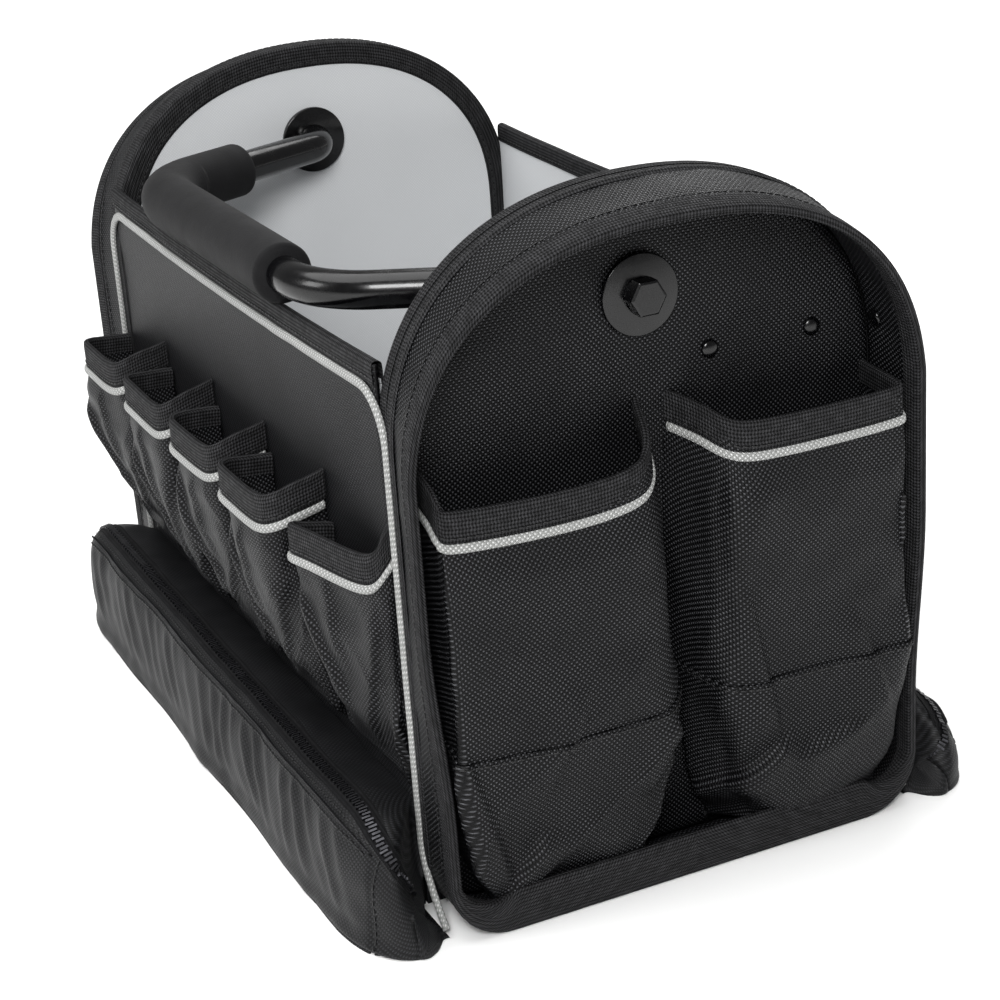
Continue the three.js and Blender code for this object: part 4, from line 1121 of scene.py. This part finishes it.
for i, shape in enumerate(sidePockets()):
    makePocket(f"left_{i + 1}", shape, lambda p: Vector(p), 20.0 + i, "side")
    makePocket(f"right_{i + 1}", shape, lambda p: turnRound(p, True), 30.0 + i, "side")
for i, (letter, shape) in enumerate(zip("ab", endPockets())):
    # drawn on the left wall with X along it, then turned a quarter to an end
    makePocket(f"near_{letter}", shape, lambda p: Vector((-p.y, p.x, p.z)), 40.0 + i, "end")
    makePocket(f"far_{letter}", shape, lambda p: Vector((p.y, -p.x, p.z)), 50.0 + i, "end")
print("pockets made")

handle = {
    "tube": 9.5 * mm,
    "halfSpan": 186 * mm,
    "reach": 126 * mm,
    "lean": math.radians(27),
    "rootBend": 22 * mm,
    "gripBend": 48 * mm,
    "grip": 15.5 * mm,
    "gripArmStart": 66 * mm,
    "gripEnd": 84 * mm,
    "stubEnd": 200.7 * mm,
}


def handleLine():
    # the flat line of the tube from bolt to bolt, lying towards -Y, with rounded corners
    def across(out):
        return handle["halfSpan"] - out * math.tan(handle["lean"])

    out = handle["reach"]
    corners = [((handle["halfSpan"], 0), handle["rootBend"]), ((across(out), -out), handle["gripBend"])]
    corners += [((-across(out), -out), handle["gripBend"]), ((-handle["halfSpan"], 0), handle["rootBend"])]
    ends = [Vector((handle["stubEnd"], 0)), Vector((-handle["stubEnd"], 0))]
    spots = [ends[0]] + [Vector(c) for c, _ in corners] + [ends[1]]
    line = [ends[0]]
    for i, (corner, bend) in enumerate(corners):
        middle = Vector(corner)
        before, after = (spots[i] - middle).normalized(), (spots[i + 2] - middle).normalized()
        half = before.angle(after) / 2
        inward = (before + after).normalized()
        centre = middle + inward * bend / math.sin(half)
        swing = math.pi / 2 - half
        sign = 1 if before.x * after.y - before.y * after.x > 0 else -1
        for k in range(17):
            angle = sign * mix(swing, -swing, k / 16)
            spoke = Vector((-inward.x, -inward.y))
            turned = Vector(
                (
                    spoke.x * math.cos(angle) - spoke.y * math.sin(angle),
                    spoke.x * math.sin(angle) + spoke.y * math.cos(angle),
                )
            )
            line.append(centre + turned * bend)
    line.append(ends[1])
    return line


def handleTilt():
    rest = wallTop(handle["gripEnd"]) + bag["gap"] + handle["grip"]
    return math.asin((rest - bag["axisHeight"]) / handle["reach"])


def sweepTube(name, line, radius, around, along, look):
    tilt = handleTilt()
    line = [(p[0], p[1]) for p in line]

    def skin(u, v):
        (x, y), way = alongLine(line, u)
        angle = v * 2 * math.pi
        r = radius(u)
        x, y = x - way.y * r * math.cos(angle), y + way.x * r * math.cos(angle)
        z = r * math.sin(angle)
        return Vector((x, y * math.cos(tilt) + z * math.sin(tilt), bag["axisHeight"] - y * math.sin(tilt) + z * math.cos(tilt)))

    return clothPiece(name, skin, along, around, look, None, body="handle")


tubeLine = handleLine()
tube = sweepTube("handleTube", tubeLine, lambda u: handle["tube"], 32, 300, "lacquer")
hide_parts("handle_tube")


def gripLine():
    kept = [p for p in tubeLine if p.x < handle["gripEnd"] and p.y < -handle["gripArmStart"]]
    lean = math.tan(handle["lean"])
    arm = Vector((-(handle["halfSpan"] - handle["gripArmStart"] * lean), -handle["gripArmStart"]))
    return [Vector((handle["gripEnd"], -handle["reach"]))] + kept + [arm]


def gripRadius(u):
    ends = min(u, 1 - u) / 0.012
    return handle["grip"] * (1 if ends > 1 else 0.62 + 0.38 * math.sqrt(max(0.0, 1 - (1 - ends) ** 2)))


grip = sweepTube("handleGrip", gripLine(), gripRadius, 40, 240, "foam")
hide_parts("handle_grip")
print("handle made")

hardware = {"washer": 20 * mm, "washerThick": 3 * mm, "flats": 16.5 * mm, "headTall": 7 * mm, "rivet": 4.5 * mm}


def turnedPiece(name, profile, spot, axis, body="bag"):
    # a profile of (radius, height) pairs, spun round its axis and set with its foot at spot
    mesh = bmesh.new()
    points = [mesh.verts.new((r, 0, h)) for r, h in profile]
    edges = [mesh.edges.new(pair) for pair in zip(points, points[1:])]
    bmesh.ops.spin(
        mesh, geom=points + edges, cent=(0, 0, 0), axis=(0, 0, 1), angle=2 * math.pi, steps=64, use_merge=True
    )
    bmesh.ops.remove_doubles(mesh, verts=mesh.verts, dist=0.001 * mm)
    bmesh.ops.recalc_face_normals(mesh, faces=mesh.faces)
    toAxis = Vector((0, 0, 1)).rotation_difference(Vector(axis)).to_matrix().to_4x4()
    bmesh.ops.transform(mesh, matrix=Matrix.Translation(Vector(spot)) @ toAxis, verts=mesh.verts)
    return finishPiece(name, mesh, "lacquer", body)


def washerProfile(r, thick):
    edge = 0.7 * mm
    return [(0, 0), (r - edge, 0), (r - 0.2 * mm, 0.2 * mm), (r, edge), (r, thick - edge), (r - 0.2 * mm, thick - 0.2 * mm),
            (r - edge, thick), (0, thick)]


def makeBolt(name, facing):
    face = bag["halfLength"] + bag["gap"]
    outer = turnedPiece(
        f"washerDisc_{name}", washerProfile(hardware["washer"], hardware["washerThick"]),
        (facing * face, 0, bag["axisHeight"]), (facing, 0, 0),
    )
    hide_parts(f"washer_outer_{name}")
    back = bag["halfLength"] - bag["panelThick"] - bag["gap"]
    inner = turnedPiece(
        f"innerWasherDisc_{name}", washerProfile(hardware["washer"], hardware["washerThick"]),
        (facing * back, 0, bag["axisHeight"]), (-facing, 0, 0),
    )
    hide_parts(f"washer_inner_{name}")
    start = face + hardware["washerThick"]
    mesh = bmesh.new()
    radius = hardware["flats"] / math.sqrt(3)
    bmesh.ops.create_cone(
        mesh, cap_ends=True, segments=6, radius1=radius, radius2=radius, depth=hardware["headTall"],
        matrix=Matrix.Translation((0, 0, hardware["headTall"] / 2 + 0.6 * mm)),
    )
    top = [f for f in mesh.faces if f.normal.z > 0.9]
    bmesh.ops.inset_region(mesh, faces=top, thickness=1.3 * mm, depth=0)
    bmesh.ops.translate(mesh, verts=[v for f in top for v in f.verts], vec=(0, 0, 0.6 * mm))
    bmesh.ops.bevel(
        mesh, geom=mesh.edges[:], offset=0.3 * mm, segments=2, profile=0.5, affect="EDGES", material=-1
    )
    bmesh.ops.create_cone(
        mesh, cap_ends=True, segments=40, radius1=hardware["flats"] / 2 * 1.06, radius2=hardware["flats"] / 2 * 0.99,
        depth=0.7 * mm, matrix=Matrix.Translation((0, 0, 0.35 * mm)),
    )
    toAxis = Vector((0, 0, 1)).rotation_difference(Vector((facing, 0, 0))).to_matrix().to_4x4()
    bmesh.ops.transform(mesh, matrix=Matrix.Translation((facing * start, 0, bag["axisHeight"])) @ toAxis, verts=mesh.verts)
    head = finishPiece(f"boltHead_{name}", mesh, "lacquer", smooth=False)
    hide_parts(f"bolt_{name}")


makeBolt("near", 1)
makeBolt("far", -1)

rivetProfile = [(4.5, -0.4), (4.5, 0.3), (4.2, 0.8), (3.4, 1.3), (2.2, 1.7), (1.0, 1.9), (0, 1.95)]
rivetProfile = [(r * mm, h * mm) for r, h in rivetProfile]
for number, (spot, axis) in enumerate(
    [
        ((bag["halfLength"] + 2.4 * mm, 36 * mm, 257.5 * mm), (1, 0, 0)),
        ((bag["halfLength"] + 2.0 * mm, 93 * mm, 257.5 * mm), (1, 0, 0)),
        ((bag["halfLength"] + 9 * mm, 124.3 * mm, 257.5 * mm), (0, -1, -0.2)),
    ]
):
    rivet = turnedPiece(f"rivetHead_{number + 1}", rivetProfile, spot, axis)
    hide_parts(f"rivet_{number + 1}")
print("hardware made")

bpy.data.objects["floor_board"].material_slots[0].material = looks["boardCloth"]

# The camera stands where the photograph was taken from
view = {
    "place": (1.1003, -0.4733, 0.5915),
    "yaw": math.radians(65.93),
    "pitch": math.radians(21.65),
    "roll": math.radians(-4.08),
    "lens": 81.24,
}
a, e, r = view["yaw"], view["pitch"], view["roll"]
forward = Vector((-math.sin(a) * math.cos(e), math.cos(a) * math.cos(e), -math.sin(e)))
right = Vector((math.cos(a), math.sin(a), 0))
above = right.cross(forward)
right, above = right * math.cos(r) + above * math.sin(r), above * math.cos(r) - right * math.sin(r)
camera = bpy.data.objects.new("camera", bpy.data.cameras.new("camera"))
camera.data.lens = view["lens"]
camera.data.sensor_width = 36
camera.data.clip_end = 50
camera.matrix_world = Matrix.Translation(view["place"]) @ Matrix((right, above, -forward)).transposed().to_4x4()
bpy.context.collection.objects.link(camera)
bpy.context.scene.camera = camera

# Plain pale floor and soft studio light
ground = bmesh.new()
bmesh.ops.create_grid(ground, x_segments=1, y_segments=1, size=60)
groundData = bpy.data.meshes.new("studioFloor")
ground.to_mesh(groundData)
ground.free()
groundData.materials.append(looks["floor"])
studioFloor = bpy.data.objects.new("studioFloor", groundData)
studioFloor.location.z = -0.2 * mm
bpy.context.collection.objects.link(studioFloor)

lights = [
    # name, kind, place, size or angle, power
    ("keySoftbox", "AREA", (1.8, -0.9, 1.5), 0.7, 46),
    ("sideSoftbox", "AREA", (-0.2, -2.2, 1.3), 0.8, 16),
    ("backSoftbox", "AREA", (-1.8, 1.7, 1.9), 1.6, 30),
    ("ceilingLight", "SUN", (-0.4, -0.5, 2.6), math.radians(60), 2.7),
]
for name, kind, place, spread, power in lights:
    lamp = bpy.data.lights.new(name, kind)
    lamp.energy = power
    if kind == "AREA":
        lamp.shape = "SQUARE"
        lamp.size = spread
    else:
        lamp.angle = spread
    lampObject = bpy.data.objects.new(name, lamp)
    lampObject.location = place
    aim = Vector((0, 0, 0.15)) - Vector(place)
    lampObject.rotation_euler = aim.to_track_quat("-Z", "Y").to_euler()
    bpy.context.collection.objects.link(lampObject)

world = bpy.data.worlds.new("studio")
bpy.context.scene.world = world
world.use_nodes = True
world.node_tree.nodes["Background"].inputs["Color"].default_value = linear("#ffffff")
world.node_tree.nodes["Background"].inputs["Strength"].default_value = 0.24
bpy.context.scene.view_settings.view_transform = "Standard"

print("scene made")
